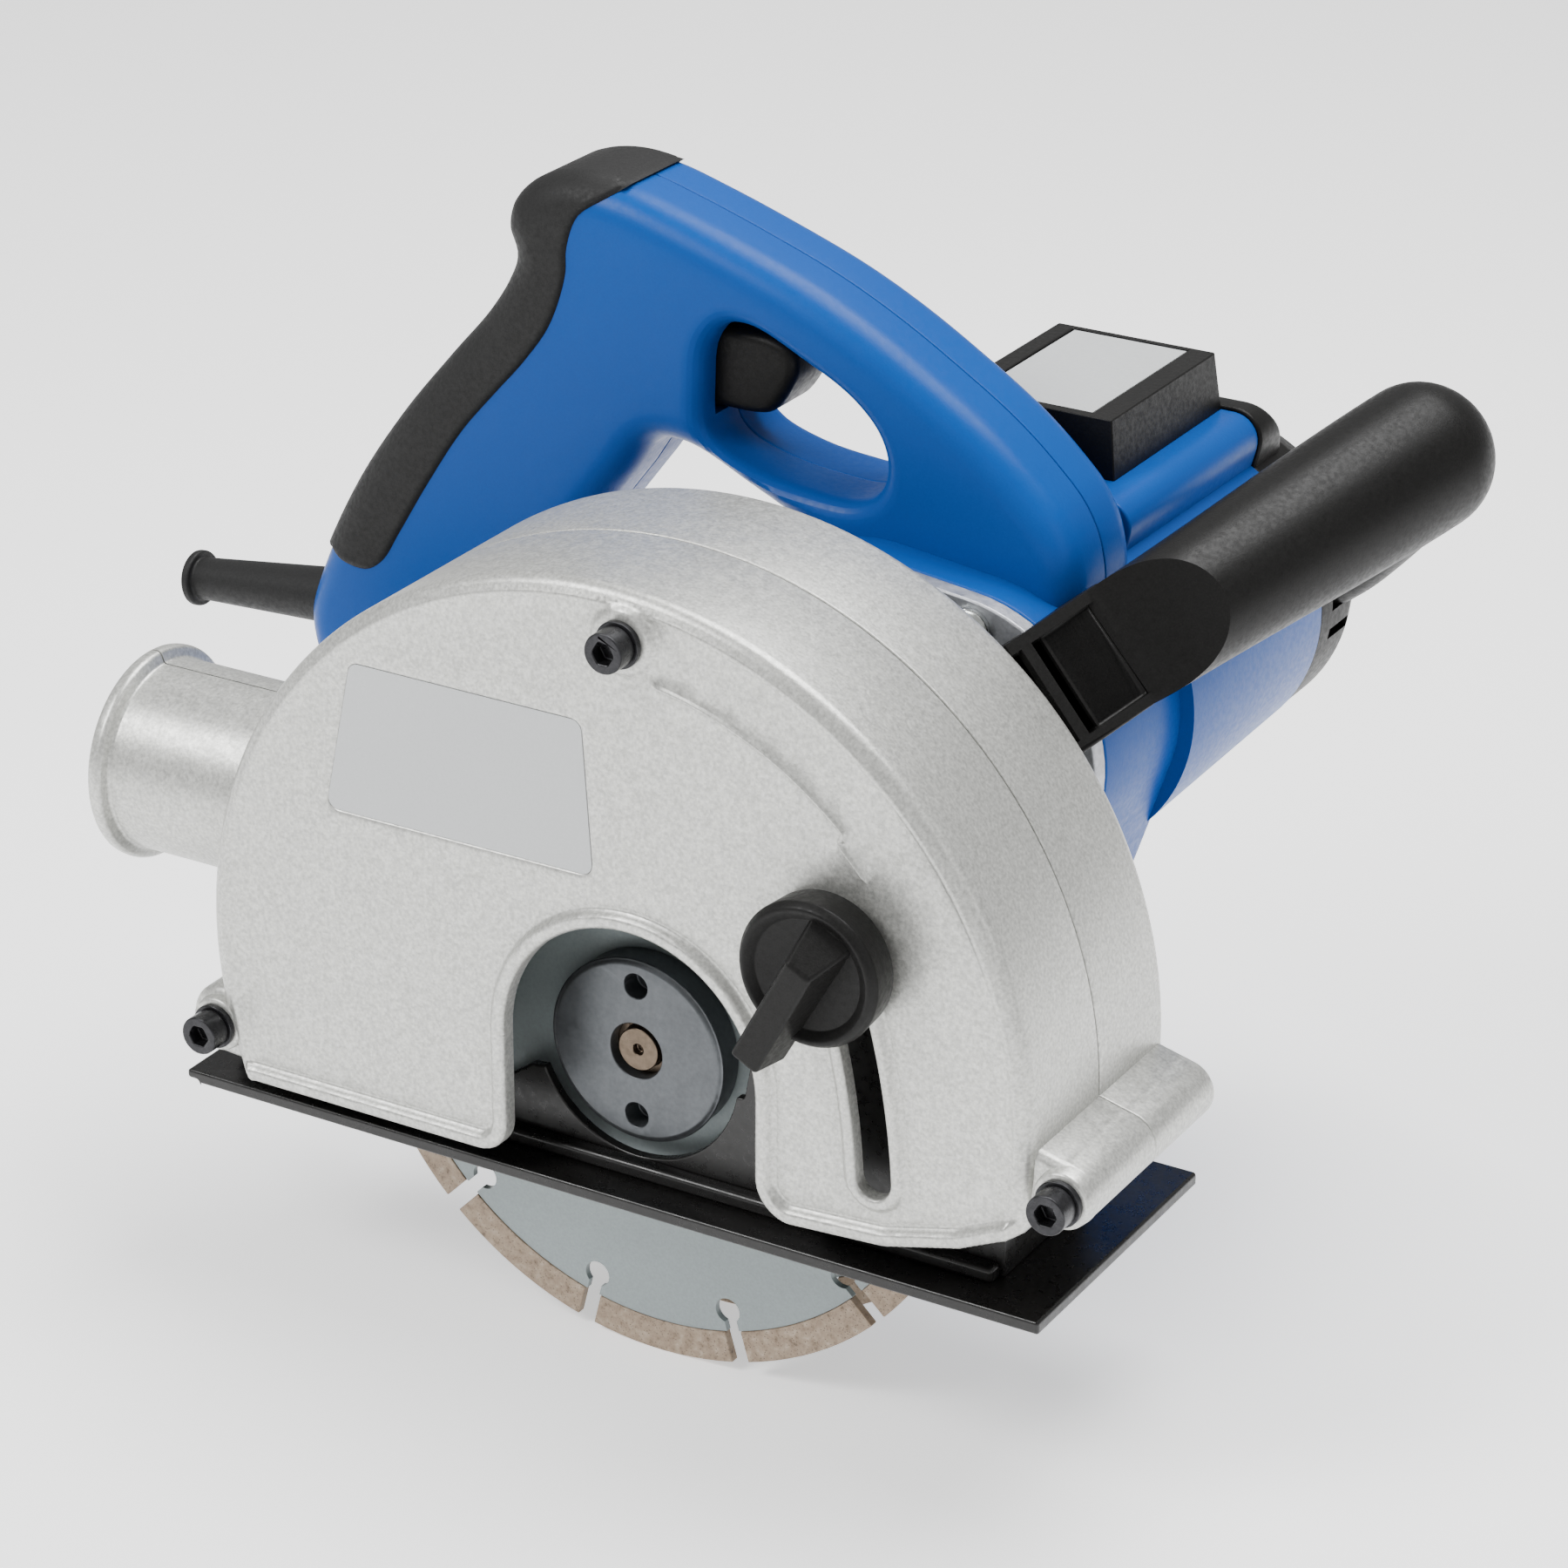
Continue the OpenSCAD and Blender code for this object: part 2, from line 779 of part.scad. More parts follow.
module brush_holders() {
    color([0.65, 0.55, 0.3]) for (s = [0, 180]) translate([motor[0], 0, motor[1]]) rotate([0, s, 0])
        difference() {
            translate([16, 148.4, -4.5]) cube([17.2, 9.4, 9]);
            translate([13, 149.6 - 0.05, -3.05]) cube([18, 7.1, 6.1]);
        }
}

module control_box() {
    color([0.1, 0.1, 0.1]) difference() {
        hull() {
            translate([11.5, 106, 101.5]) cube([41.8, 52, 0.5]);
            translate([14, 107.5, 111]) cube([36.3, 49.5, 2.4]);
            translate([15, 108.5, 113.9]) cube([34.3, 47.5, 0.5]);
        }
        translate([17.7, 110, 113.8]) cube([28, 45.5, 2]);
        translate([16, 110, 100]) cube([32, 44, 11.5]);
    }
}

module control_box_label() {
    color("whitesmoke") translate([18, 110.3, 113.8]) cube([27.4, 44.9, 0.4]);
}

module control_module() {
    color("darkgreen") translate([19, 114, 101.6]) cube([26, 36, 8]);
}

// ---------- main handle ----------

module handle_solid(a, b) {
    ex(a, b) difference() { handle_outline(); hand_hole(); }
}

module handle_room(a, b) {
    difference() {
        ex(a, b) difference() {
            offset(delta = -shell_wall) handle_outline();
            offset(delta = shell_wall) hand_hole();
            offset(delta = 1.5) case_outline(0);
        }
        for (p = handle_screw_at) rod(p, 4.5, a - 1, b + 1);
    }
}

module handle_cuts() {
    ex(hy0 - 1, hy1 + 1) case_outline(-0.02);
    translate([-38, handle_y - 9, 112]) cube([20.6, 18, 21.2]);
    translate([relief_start[0], handle_y, relief_start[1]]) rotate([0, -90 - relief_drop, 0]) {
        cylinder(r = 7.1, h = 20);
        translate([0, 0, -0.05]) cylinder(r = 8.65, h = 4.1);
    }
}

module handle_near_shell() {
    seam = handle_y - 0.1;
    color([0.02, 0.4, 0.75]) difference() {
        handle_solid(hy0, seam);
        handle_room(hy0 + shell_wall, seam + 1);
        handle_cuts();
        for (p = handle_screw_at) rod(p, 1.9, hy0 + 4, seam + 1);
    }
}

module handle_far_shell() {
    seam = handle_y + 0.1;
    color([0.02, 0.4, 0.75]) difference() {
        handle_solid(seam, hy1);
        handle_room(seam - 1, hy1 - shell_wall);
        handle_cuts();
        for (p = handle_screw_at) {
            rod(p, 2.2, seam - 1, hy1 + 1);
            rod(p, 4.2, hy1 - 3, hy1 + 1);
        }
    }
}

module grip_overmould() {
    color([0.13, 0.13, 0.13]) difference() {
        ex(hy0 - 0.8, hy1 + 0.8) intersection() {
            offset(1) handle_outline();
            grip_region();
        }
        ex(hy0 - 0.02, hy1 + 0.02) offset(delta = 0.02) handle_outline();
        for (p = handle_screw_at) rod(p, 4.2, hy1, hy1 + 2);
    }
}

module handle_screws() {
    color("dimgray") for (p = handle_screw_at) {
        rod(p, 3.8, hy1 - 2.9, hy1 - 0.5);
        rod(p, 1.85, hy0 + 5, hy1 - 2.9 + eps);
    }
}

module trigger() {
    color([0.1, 0.1, 0.1]) ex(handle_y - 8.6, handle_y + 8.6) trigger_outline();
}

module switch_body() {
    color("dimgray") translate([-59, handle_y - 8, 112.5]) cube([19.5, 16, 21]);
}

module trigger_spring() {
    color("gainsboro") translate([-39.4, handle_y, 122]) rotate([0, 90, 0]) difference() {
        cylinder(r = 3, h = 6.3);
        translate([0, 0, -1]) cylinder(r = 2, h = 9);
    }
}

module strain_relief() {
    color([0.12, 0.12, 0.12]) translate([relief_start[0], handle_y, relief_start[1]])
        rotate([0, -90 - relief_drop, 0]) difference() {
            union() {
                cylinder(r = 8.6, h = 4);
                cylinder(r1 = 7, r2 = 4.9, h = 48.5);
                translate([0, 0, 48]) cylinder(r = 6.5, h = 2);
            }
            translate([0, 0, -1]) cylinder(r = 4, h = 60);
        }
}

module cord_clamp() {
    color("dimgray") difference() {
        translate([-118, handle_y - 8, 36]) cube([8, 16, 14]);
        translate([-124, handle_y, 45]) rotate([0, 90, 0]) cylinder(r = 4, h = 20);
    }
}

// ---------- front handle ----------

grip_start = [75, 48, 82.5];
grip_mid = [90, 97, 93.5];
grip_end = [105, 146, 104];
foot_at = [68.7, 77.6];
foot_turn = 39.4;

// Frame of the foot: x points away from the motor, y as before, z across the foot
module foot_frame() {
    translate([foot_at[0], 0, foot_at[1]]) rotate([0, -foot_turn, 0]) children();
}

// A prism across the foot, drawn in the foot frame's x and y
module across_foot(half) {
    foot_frame() translate([0, 0, -half]) linear_extrude(2 * half) children();
}

module front_handle() {
    color([0.1, 0.1, 0.1]) difference() {
        union() {
            // Channel-shaped foot that is screwed to the gear case
            across_foot(13.4) polygon([[-11.5, 44], [0, 44], [6, 56], [-11.5, 56]]);
            hull() {
                translate(grip_start) rotate([-90, 0, 0]) cylinder(r = 13, h = 2, $fn = 32);
                translate(grip_mid) sphere(front_grip_r, $fn = 32);
            }
            hull() {
                translate(grip_mid) sphere(front_grip_r, $fn = 32);
                translate(grip_end) sphere(front_grip_r + 1.5, $fn = 32);
            }
            // Arm that ties the tip back to the end cap
            hull() {
                translate([107, 152, 97]) sphere(8, $fn = 32);
                translate([78, 171, 66]) sphere(7, $fn = 32);
            }
        }
        // The grip's near end is cut away down to two side ribs and a floor
        across_foot(30) polygon([[-0.3, 43], [60, 40], [60, 106], [38, 89.5], [22, 74], [10, 63.5]]);
        across_foot(10.9) polygon([[-20, 40], [20, 40], [20, 46.4], [-20, 46.4]]);
        across_foot(10.9) polygon([[-8.5, 48.6], [20, 48.6], [20, 52.2], [-8.5, 52.2]]);
        across_foot(10.9) polygon([[3.4, 52], [20, 52], [20, 63.5], [3.4, 61]]);
        ex(40, flange_y) gear_room_outline(-0.05);
        ex(flange_y - 0.02, body_y + 0.1) case_outline(-0.02);
        rod(motor, motor_r + 0.05, body_y, cap_y);
        rod(motor, motor_r - 1.25, cap_y, end_y);
        rod(foot_screw_at, 2.5, 40, flange_y + 1);
    }
}

foot_screw_at = foot_at - 5 * [cos(foot_turn), sin(foot_turn)];

module front_handle_screw() {
    color("gainsboro") difference() {
        union() {
            rod(foot_screw_at, 4, 44, 46.4);
            rod(foot_screw_at, 2.45, 46.4 - eps, flange_y - 0.1);
        }
        for (turn = [20, 110]) translate([foot_screw_at[0], 43, foot_screw_at[1]])
            rotate([0, turn, 0]) translate([-2.2, 0, -0.45]) cube([4.4, 2.2, 0.9]);
    }
}

guard_cover();
guard_housing();
label_plate();
cover_screws();
cover_screw_washers();
pivot_bolt();
pivot_spacer();
pivot_nut();
base_plate();
base_bracket();
base_rear_ear();
depth_clamp_bolt();
depth_clamp_sleeve();
depth_clamp_washer();
depth_knob();
near_blade_core();
near_blade_segments();
far_blade_core();
far_blade_segments();
blade_spacers();
inner_flange();
flange_nut();
spindle();
output_gear();
gear_train_bearings();
layshaft();
layshaft_pinion();
layshaft_gear();
gear_case();
gear_case_screws();
gear_mid_plate();
motor_bearing_plate();
motor_housing();
end_cap();
end_cap_screws();
stator_core();
field_coils();
armature_shaft();
armature_core();
armature_windings();
commutator();
cooling_fan();
motor_pinion();
armature_bearings();
carbon_brushes();
brush_holders();
control_box();
control_box_label();
control_module();
handle_near_shell();
handle_far_shell();
grip_overmould();
handle_screws();
trigger();
switch_body();
trigger_spring();
strain_relief();
cord_clamp();
front_handle();
front_handle_screw();
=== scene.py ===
import json
import math

import bmesh
import bpy
import numpy as np
from mathutils import Matrix, Vector
from mathutils.geometry import delaunay_2d_cdt

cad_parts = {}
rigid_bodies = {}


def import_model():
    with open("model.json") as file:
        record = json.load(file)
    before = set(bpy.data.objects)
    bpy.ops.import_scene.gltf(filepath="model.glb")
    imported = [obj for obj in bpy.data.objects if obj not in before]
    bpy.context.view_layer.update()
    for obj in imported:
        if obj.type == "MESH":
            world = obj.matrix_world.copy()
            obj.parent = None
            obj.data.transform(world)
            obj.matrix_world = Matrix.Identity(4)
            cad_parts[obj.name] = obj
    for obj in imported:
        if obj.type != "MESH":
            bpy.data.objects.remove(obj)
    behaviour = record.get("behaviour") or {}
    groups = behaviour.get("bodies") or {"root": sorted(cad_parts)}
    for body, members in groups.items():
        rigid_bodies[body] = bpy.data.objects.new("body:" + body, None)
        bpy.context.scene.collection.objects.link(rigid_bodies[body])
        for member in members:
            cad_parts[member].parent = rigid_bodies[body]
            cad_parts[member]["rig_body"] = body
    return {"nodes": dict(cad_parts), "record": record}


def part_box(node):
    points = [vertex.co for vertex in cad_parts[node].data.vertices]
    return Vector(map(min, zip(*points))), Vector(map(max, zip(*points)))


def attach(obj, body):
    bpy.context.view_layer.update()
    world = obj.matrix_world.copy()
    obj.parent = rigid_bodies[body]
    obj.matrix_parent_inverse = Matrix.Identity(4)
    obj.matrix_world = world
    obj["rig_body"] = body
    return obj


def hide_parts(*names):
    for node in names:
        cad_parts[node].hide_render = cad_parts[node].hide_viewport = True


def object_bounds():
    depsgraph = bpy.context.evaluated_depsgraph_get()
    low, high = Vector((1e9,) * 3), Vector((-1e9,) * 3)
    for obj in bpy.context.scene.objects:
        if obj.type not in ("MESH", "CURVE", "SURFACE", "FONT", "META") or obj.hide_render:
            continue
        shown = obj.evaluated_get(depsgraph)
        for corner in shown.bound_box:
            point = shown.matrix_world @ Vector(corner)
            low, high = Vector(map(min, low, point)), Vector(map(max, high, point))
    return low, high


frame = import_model()
rest_lo, rest_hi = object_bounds()

MM = 0.001


# ---------------------------------------------------------------- materials

def new_mat(name):
    m = bpy.data.materials.new(name)
    m.use_nodes = True
    nt = m.node_tree
    b = nt.nodes["Principled BSDF"]
    return m, nt, b


def noise(nt, coord, scale, detail=3.0, rough=0.55):
    n = nt.nodes.new("ShaderNodeTexNoise")
    n.inputs["Scale"].default_value = scale
    n.inputs["Detail"].default_value = detail
    n.inputs["Roughness"].default_value = rough
    nt.links.new(coord, n.inputs["Vector"])
    return n.outputs["Fac"]


def ramp(nt, fac, stops):
    r = nt.nodes.new("ShaderNodeValToRGB")
    e = r.color_ramp.elements
    while len(e) < len(stops):
        e.new(0.5)
    for k, (p, c) in enumerate(stops):
        e[k].position = p
        e[k].color = (*c, 1) if len(c) == 3 else c
    nt.links.new(fac, r.inputs["Fac"])
    return r.outputs["Color"]


def grey(v):
    return (v, v, v)


def mapped(nt, fac, lo, hi, a=0.35, b=0.65):
    n = nt.nodes.new("ShaderNodeMapRange")
    n.inputs["From Min"].default_value = a
    n.inputs["From Max"].default_value = b
    n.inputs["To Min"].default_value = lo
    n.inputs["To Max"].default_value = hi
    nt.links.new(fac, n.inputs["Value"])
    return n.outputs["Result"]


def bumps(nt, bsdf, parts):
    """Chains bump nodes: parts is (height socket, strength, distance in metres)."""
    last = None
    for height, strength, dist in parts:
        n = nt.nodes.new("ShaderNodeBump")
        n.inputs["Strength"].default_value = strength
        n.inputs["Distance"].default_value = dist
        nt.links.new(height, n.inputs["Height"])
        if last:
            nt.links.new(last, n.inputs["Normal"])
        last = n.outputs["Normal"]
    nt.links.new(last, bsdf.inputs["Normal"])


def scaled(color, k):
    return tuple(min(1.0, c * k) for c in color)


def surface(name, color, rough, metallic=0.0, grain=900, grain_amp=0.05, grain_bump=0.1,
            cloud=18, cloud_amp=0.04, rough_amp=0.06, wave_bump=0.0, coat=0.0, spec=0.5,
            sparkle=0.0, streak=None):
    """A material with fine grain and broad clouds in its colour, roughness and bump.
    streak squeezes the roughness along X, Y and Z into turning or brushing lines."""
    m, nt, b = new_mat(name)
    co = nt.nodes.new("ShaderNodeTexCoord").outputs["Object"]
    fine = noise(nt, co, grain, 2.0)
    broad = noise(nt, co, cloud, 4.0)
    darker, lighter = scaled(color, 1 - grain_amp), scaled(color, 1 + grain_amp)
    col = ramp(nt, fine, [(0.3, darker), (0.7, lighter)])
    tone = ramp(nt, broad, [(0.3, grey(1 - cloud_amp)), (0.7, grey(1.0))])
    mix = nt.nodes.new("ShaderNodeMix")
    mix.data_type = "RGBA"
    mix.blend_type = "MULTIPLY"
    mix.inputs["Factor"].default_value = 1.0
    nt.links.new(col, mix.inputs["A"])
    nt.links.new(tone, mix.inputs["B"])
    nt.links.new(mix.outputs["Result"], b.inputs["Base Color"])
    if streak is None:
        r_in = noise(nt, co, grain * 0.35, 3.0)
    else:
        mp = nt.nodes.new("ShaderNodeMapping")
        mp.inputs["Scale"].default_value = streak
        nt.links.new(co, mp.inputs["Vector"])
        r_in = noise(nt, mp.outputs["Vector"], 1.0, 3.0)
    smoothest, roughest = max(0.02, rough - rough_amp), min(1.0, rough + rough_amp)
    nt.links.new(mapped(nt, r_in, smoothest, roughest), b.inputs["Roughness"])
    b.inputs["Metallic"].default_value = metallic
    b.inputs["Specular IOR Level"].default_value = spec
    if coat:
        b.inputs["Coat Weight"].default_value = coat
        b.inputs["Coat Roughness"].default_value = 0.25
    parts = []
    if grain_bump:
        parts.append((fine, grain_bump, 0.00012))
    if wave_bump:
        parts.append((noise(nt, co, 60, 2.0), wave_bump, 0.0004))
    if streak is not None:
        parts.append((r_in, 0.25, 0.00005))
    if sparkle:
        v = nt.nodes.new("ShaderNodeTexVoronoi")
        v.inputs["Scale"].default_value = 2300
        nt.links.new(co, v.inputs["Vector"])
        s = ramp(nt, v.outputs["Color"], [(0.45, grey(0.0)), (0.95, grey(1.0))])
        parts.append((s, sparkle, 0.00006))
    if parts:
        bumps(nt, b, parts)
    return m


SURFACES = {
    "silver_paint": dict(
        color=(0.53, 0.532, 0.505), rough=0.38, metallic=0.62, grain=1300, grain_amp=0.22,
        grain_bump=0.2, cloud=9, cloud_amp=0.05, rough_amp=0.05, sparkle=0.22, wave_bump=0.02),
    "cast_alloy": dict(
        color=(0.46, 0.47, 0.50), rough=0.45, metallic=0.8, grain=1100, grain_amp=0.12,
        grain_bump=0.3, cloud=14, cloud_amp=0.12, rough_amp=0.08, wave_bump=0.05),
    "blue_plastic": dict(
        color=(0.0, 0.062, 0.30), rough=0.36, grain=2200, grain_amp=0.04, grain_bump=0.16,
        cloud=12, cloud_amp=0.05, rough_amp=0.05, spec=0.14),
    "black_plastic": dict(
        color=(0.0085, 0.0083, 0.008), rough=0.42, grain=2400, grain_amp=0.2, grain_bump=0.22,
        cloud=14, cloud_amp=0.2, rough_amp=0.07, spec=0.15),
    "soft_grip": dict(
        color=(0.011, 0.011, 0.011), rough=0.58, grain=2600, grain_amp=0.25, grain_bump=0.32,
        cloud=18, cloud_amp=0.2, rough_amp=0.08, spec=0.25),
    "black_coat": dict(
        color=(0.009, 0.0085, 0.0082), rough=0.32, grain=1300, grain_amp=0.2, grain_bump=0.22,
        cloud=22, cloud_amp=0.2, rough_amp=0.08, wave_bump=0.06, spec=0.34, coat=0.12),
    "blade_steel": dict(
        color=(0.27, 0.31, 0.315), rough=0.44, metallic=0.35, grain=1600, grain_amp=0.06,
        grain_bump=0.08, cloud=14, cloud_amp=0.12, rough_amp=0.07),
    "dark_steel": dict(
        color=(0.105, 0.112, 0.120), rough=0.40, metallic=0.8, grain_amp=0.08,
        grain_bump=0.05, cloud=35, cloud_amp=0.12, rough_amp=0.05),
    "spindle_steel": dict(
        color=(0.15, 0.115, 0.085), rough=0.34, metallic=0.95, grain=700, grain_amp=0.15,
        grain_bump=0.06, cloud=90, cloud_amp=0.25, rough_amp=0.10),
    "bright_steel": dict(
        color=(0.55, 0.56, 0.57), rough=0.26, metallic=1.0, grain=700, grain_bump=0.05,
        cloud=30, cloud_amp=0.12, rough_amp=0.08, streak=(60, 2600, 60)),
    "black_screw": dict(
        color=(0.030, 0.030, 0.033), rough=0.32, metallic=0.7, grain=1100, grain_amp=0.25,
        grain_bump=0.12, cloud=80, cloud_amp=0.3, rough_amp=0.1),
    "zinc": dict(
        color=(0.62, 0.64, 0.62), rough=0.24, metallic=1.0, grain_amp=0.07,
        grain_bump=0.06, cloud=60, cloud_amp=0.15, rough_amp=0.08),
    "copper": dict(
        color=(0.60, 0.27, 0.10), rough=0.35, metallic=0.9, grain_amp=0.15,
        grain_bump=0.3, streak=(1500, 300, 1500)),
    "carbon": dict(
        color=(0.03, 0.03, 0.03), rough=0.7, grain=1600, grain_amp=0.3, grain_bump=0.3),
    "brass_fitting": dict(
        color=(0.62, 0.47, 0.20), rough=0.3, metallic=1.0, grain_amp=0.06),
    "label": dict(
        color=(0.50, 0.515, 0.52), rough=0.36, grain=1800, grain_amp=0.03, grain_bump=0.03,
        cloud=8, cloud_amp=0.05, coat=0.2),
    "circuit": dict(
        color=(0.02, 0.12, 0.05), rough=0.4, grain=500, grain_amp=0.3, grain_bump=0.2),
}
MAT = {name: surface(name, **look) for name, look in SURFACES.items()}


def diamond_material():
    """Sintered bronze bond with pale and dark grit standing out of it."""
    m, nt, b = new_mat("diamond_bond")
    co = nt.nodes.new("ShaderNodeTexCoord").outputs["Object"]
    blotch = noise(nt, co, 420, 5.0, 0.65)
    col = ramp(nt, blotch, [(0.30, (0.10, 0.07, 0.05)), (0.40, (0.25, 0.185, 0.13)),
                            (0.56, (0.34, 0.265, 0.195)), (0.72, (0.47, 0.39, 0.305))])
    v = nt.nodes.new("ShaderNodeTexVoronoi")
    v.inputs["Scale"].default_value = 1500
    nt.links.new(co, v.inputs["Vector"])
    grit = ramp(nt, v.outputs["Distance"], [(0.10, grey(1.0)), (0.26, grey(0.0))])
    mix = nt.nodes.new("ShaderNodeMix")
    mix.data_type = "RGBA"
    nt.links.new(grit, mix.inputs["Factor"])
    nt.links.new(col, mix.inputs["A"])
    mix.inputs["B"].default_value = (0.12, 0.085, 0.06, 1)
    nt.links.new(mix.outputs["Result"], b.inputs["Base Color"])
    b.inputs["Metallic"].default_value = 0.35
    nt.links.new(mapped(nt, blotch, 0.35, 0.62), b.inputs["Roughness"])
    bumps(nt, b, [(blotch, 0.5, 0.0003), (grit, 0.5, 0.0002)])
    return m


MAT["diamond_bond"] = diamond_material()


# ---------------------------------------------------------------- mesh tools

WELD = 2e-6         # metres: points closer than this become one


def place(name, data):
    ob = bpy.data.objects.new(name, data)
    bpy.context.scene.collection.objects.link(ob)
    return ob


def paint(ob, slot):
    ob.data.materials.clear()
    ob.data.materials.append(MAT[slot])


def finish_mesh(me, angle):
    """Smooth shading, sharp where faces meet at more than the angle in degrees."""
    me.shade_smooth()
    me.set_sharp_from_angle(angle=math.radians(angle))


def clean_mesh(me, flat=0.0):
    """Welds points, merges faces that turn less than flat degrees and turns all outward."""
    bm = bmesh.new()
    bm.from_mesh(me)
    bmesh.ops.remove_doubles(bm, verts=bm.verts, dist=WELD)
    if flat:
        bmesh.ops.dissolve_limit(bm, angle_limit=math.radians(flat), verts=bm.verts,
                                 edges=bm.edges)
    bmesh.ops.recalc_face_normals(bm, faces=bm.faces)
    bm.to_mesh(me)
    bm.free()


def add(name, verts, faces, body="machine", slot="black_plastic", replaces=(), angle=35):
    """A new piece, its vertices in millimetres. With body=None it is only a cutter."""
    me = bpy.data.meshes.new(name)
    me.from_pydata([tuple(float(c) * MM for c in v) for v in verts], [], [list(f) for f in faces])
    clean_mesh(me)
    finish_mesh(me, angle)
    ob = place(name, me)
    paint(ob, slot)
    if body:
        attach(ob, body)
        if replaces:
            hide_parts(*replaces)
    return ob


def cut(ob, cutter):
    """Subtracts the cutter from the object, and removes the cutter."""
    mod = ob.modifiers.new("b", "BOOLEAN")
    mod.operation = "DIFFERENCE"
    mod.solver = "EXACT"
    mod.object = cutter
    dg = bpy.context.evaluated_depsgraph_get()
    me = bpy.data.meshes.new_from_object(ob.evaluated_get(dg))
    ob.modifiers.clear()
    old = ob.data
    ob.data = me
    bpy.data.meshes.remove(old)
    bpy.data.objects.remove(cutter)


def bevel(ob, width, segments=2, angle=32, clamp=False):
    """Rounds the edges that turn by more than angle degrees. The width is in millimetres."""
    mod = ob.modifiers.new("edges", "BEVEL")
    mod.width = width * MM
    mod.segments = segments
    mod.limit_method = "ANGLE"
    mod.angle_limit = math.radians(angle)
    mod.use_clamp_overlap = clamp
    mod.harden_normals = True
    mod.miter_outer = "MITER_ARC"


def soften(node, slot, width, segments):
    """A copy of a CAD node's mesh with welded, lightly rounded edges."""
    src = frame["nodes"][node]
    me = src.data.copy()
    me.name = node + "_skin"
    clean_mesh(me, flat=0.6)
    finish_mesh(me, 32)
    ob = place(node + "_skin", me)
    paint(ob, slot)
    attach(ob, src["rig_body"])
    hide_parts(node)
    bevel(ob, width, segments)


def spline(points, step=1.4, closed=True):
    """A smooth line through the points (centripetal Catmull-Rom), evenly spaced."""
    P = np.array(points, float)
    n = len(P)
    out = []
    for i in range(n if closed else n - 1):
        if closed:
            p0, p1, p2, p3 = P[(i - 1) % n], P[i], P[(i + 1) % n], P[(i + 2) % n]
        else:
            p0, p1, p2, p3 = P[max(i - 1, 0)], P[i], P[i + 1], P[min(i + 2, n - 1)]
            if i == 0:
                p0 = 2 * p1 - p2
            if i == n - 2:
                p3 = 2 * p2 - p1
        t0 = 0.0
        t1 = t0 + max(np.linalg.norm(p1 - p0), 1e-6) ** 0.5
        t2 = t1 + max(np.linalg.norm(p2 - p1), 1e-6) ** 0.5
        t3 = t2 + max(np.linalg.norm(p3 - p2), 1e-6) ** 0.5
        for t in np.linspace(t1, t2, 14, endpoint=False):
            a1 = (t1 - t) / (t1 - t0) * p0 + (t - t0) / (t1 - t0) * p1
            a2 = (t2 - t) / (t2 - t1) * p1 + (t - t1) / (t2 - t1) * p2
            a3 = (t3 - t) / (t3 - t2) * p2 + (t - t2) / (t3 - t2) * p3
            b1 = (t2 - t) / (t2 - t0) * a1 + (t - t0) / (t2 - t0) * a2
            b2 = (t3 - t) / (t3 - t1) * a2 + (t - t1) / (t3 - t1) * a3
            out.append((t2 - t) / (t2 - t1) * b1 + (t - t1) / (t2 - t1) * b2)
    if not closed:
        out.append(P[-1])
    return resample(np.array(out), step, closed)


def resample(P, step, closed=True):
    """The same line with evenly spaced points, about a step apart."""
    Q = np.vstack([P, P[:1]]) if closed else P
    seg = np.linalg.norm(np.diff(Q, axis=0), axis=1)
    s = np.concatenate([[0], np.cumsum(seg)])
    n = max(8, int(round(s[-1] / step)))
    at = np.linspace(0, s[-1], n, endpoint=not closed)
    return np.stack([np.interp(at, s, Q[:, k]) for k in range(Q.shape[1])], 1)


def relax(P, times):
    """Evens out a closed line."""
    for _ in range(times):
        P = 0.25 * np.roll(P, 1, 0) + 0.5 * P + 0.25 * np.roll(P, -1, 0)
    return P


def polar(c, r, degrees):
    a = math.radians(degrees)
    return c + r * np.array([math.cos(a), math.sin(a)])


def arc(c, r, a0, a1, step=1.4):
    """Points on a circle from angle a0 to a1, in degrees."""
    n = max(3, int(abs(math.radians(a1 - a0)) * r / step) + 1)
    t = np.radians(np.linspace(a0, a1, n))
    return np.stack([c[0] + r * np.cos(t), c[1] + r * np.sin(t)], 1)


def line_dist(P, L, closed=True):
    """Distance from points P to the line L, both in the XZ plane."""
    A = L
    B = np.roll(L, -1, 0)
    if not closed:
        A, B = L[:-1], L[1:]
    D = B - A
    dd = (D ** 2).sum(1) + 1e-12
    out = np.empty(len(P))
    for k in range(0, len(P), 3000):
        q = P[k:k + 3000, None, :]
        t = np.clip(((q - A) * D).sum(2) / dd, 0, 1)
        out[k:k + 3000] = np.sqrt((((A + t[..., None] * D) - q) ** 2).sum(2).min(1))
    return out


def inside(P, L):
    """Even-odd test of points P against the closed line L."""
    x, y = P[:, 0], P[:, 1]
    hit = np.zeros(len(P), bool)
    A, B = L, np.roll(L, -1, 0)
    for (x0, y0), (x1, y1) in zip(A, B):
        if y0 == y1:
            continue
        c = (y0 > y) != (y1 > y)
        hit ^= c & (x < (x1 - x0) * (y - y0) / (y1 - y0) + x0)
    return hit


def sdist(P, L):
    """Distance from points P to the closed line L, negative outside it."""
    d = line_dist(P, L)
    return np.where(inside(P, L), d, -d)


def normals(L, closed=True):
    """The unit normal at each point of the line, to its left."""
    T = np.roll(L, -1, 0) - np.roll(L, 1, 0)
    if not closed:
        T[0], T[-1] = L[1] - L[0], L[-1] - L[-2]
    T /= np.linalg.norm(T, axis=1)[:, None] + 1e-12
    return np.stack([-T[:, 1], T[:, 0]], 1)


def area(L):
    x, y = L[:, 0], L[:, 1]
    return 0.5 * float(np.sum(x * np.roll(y, -1) - y * np.roll(x, -1)))


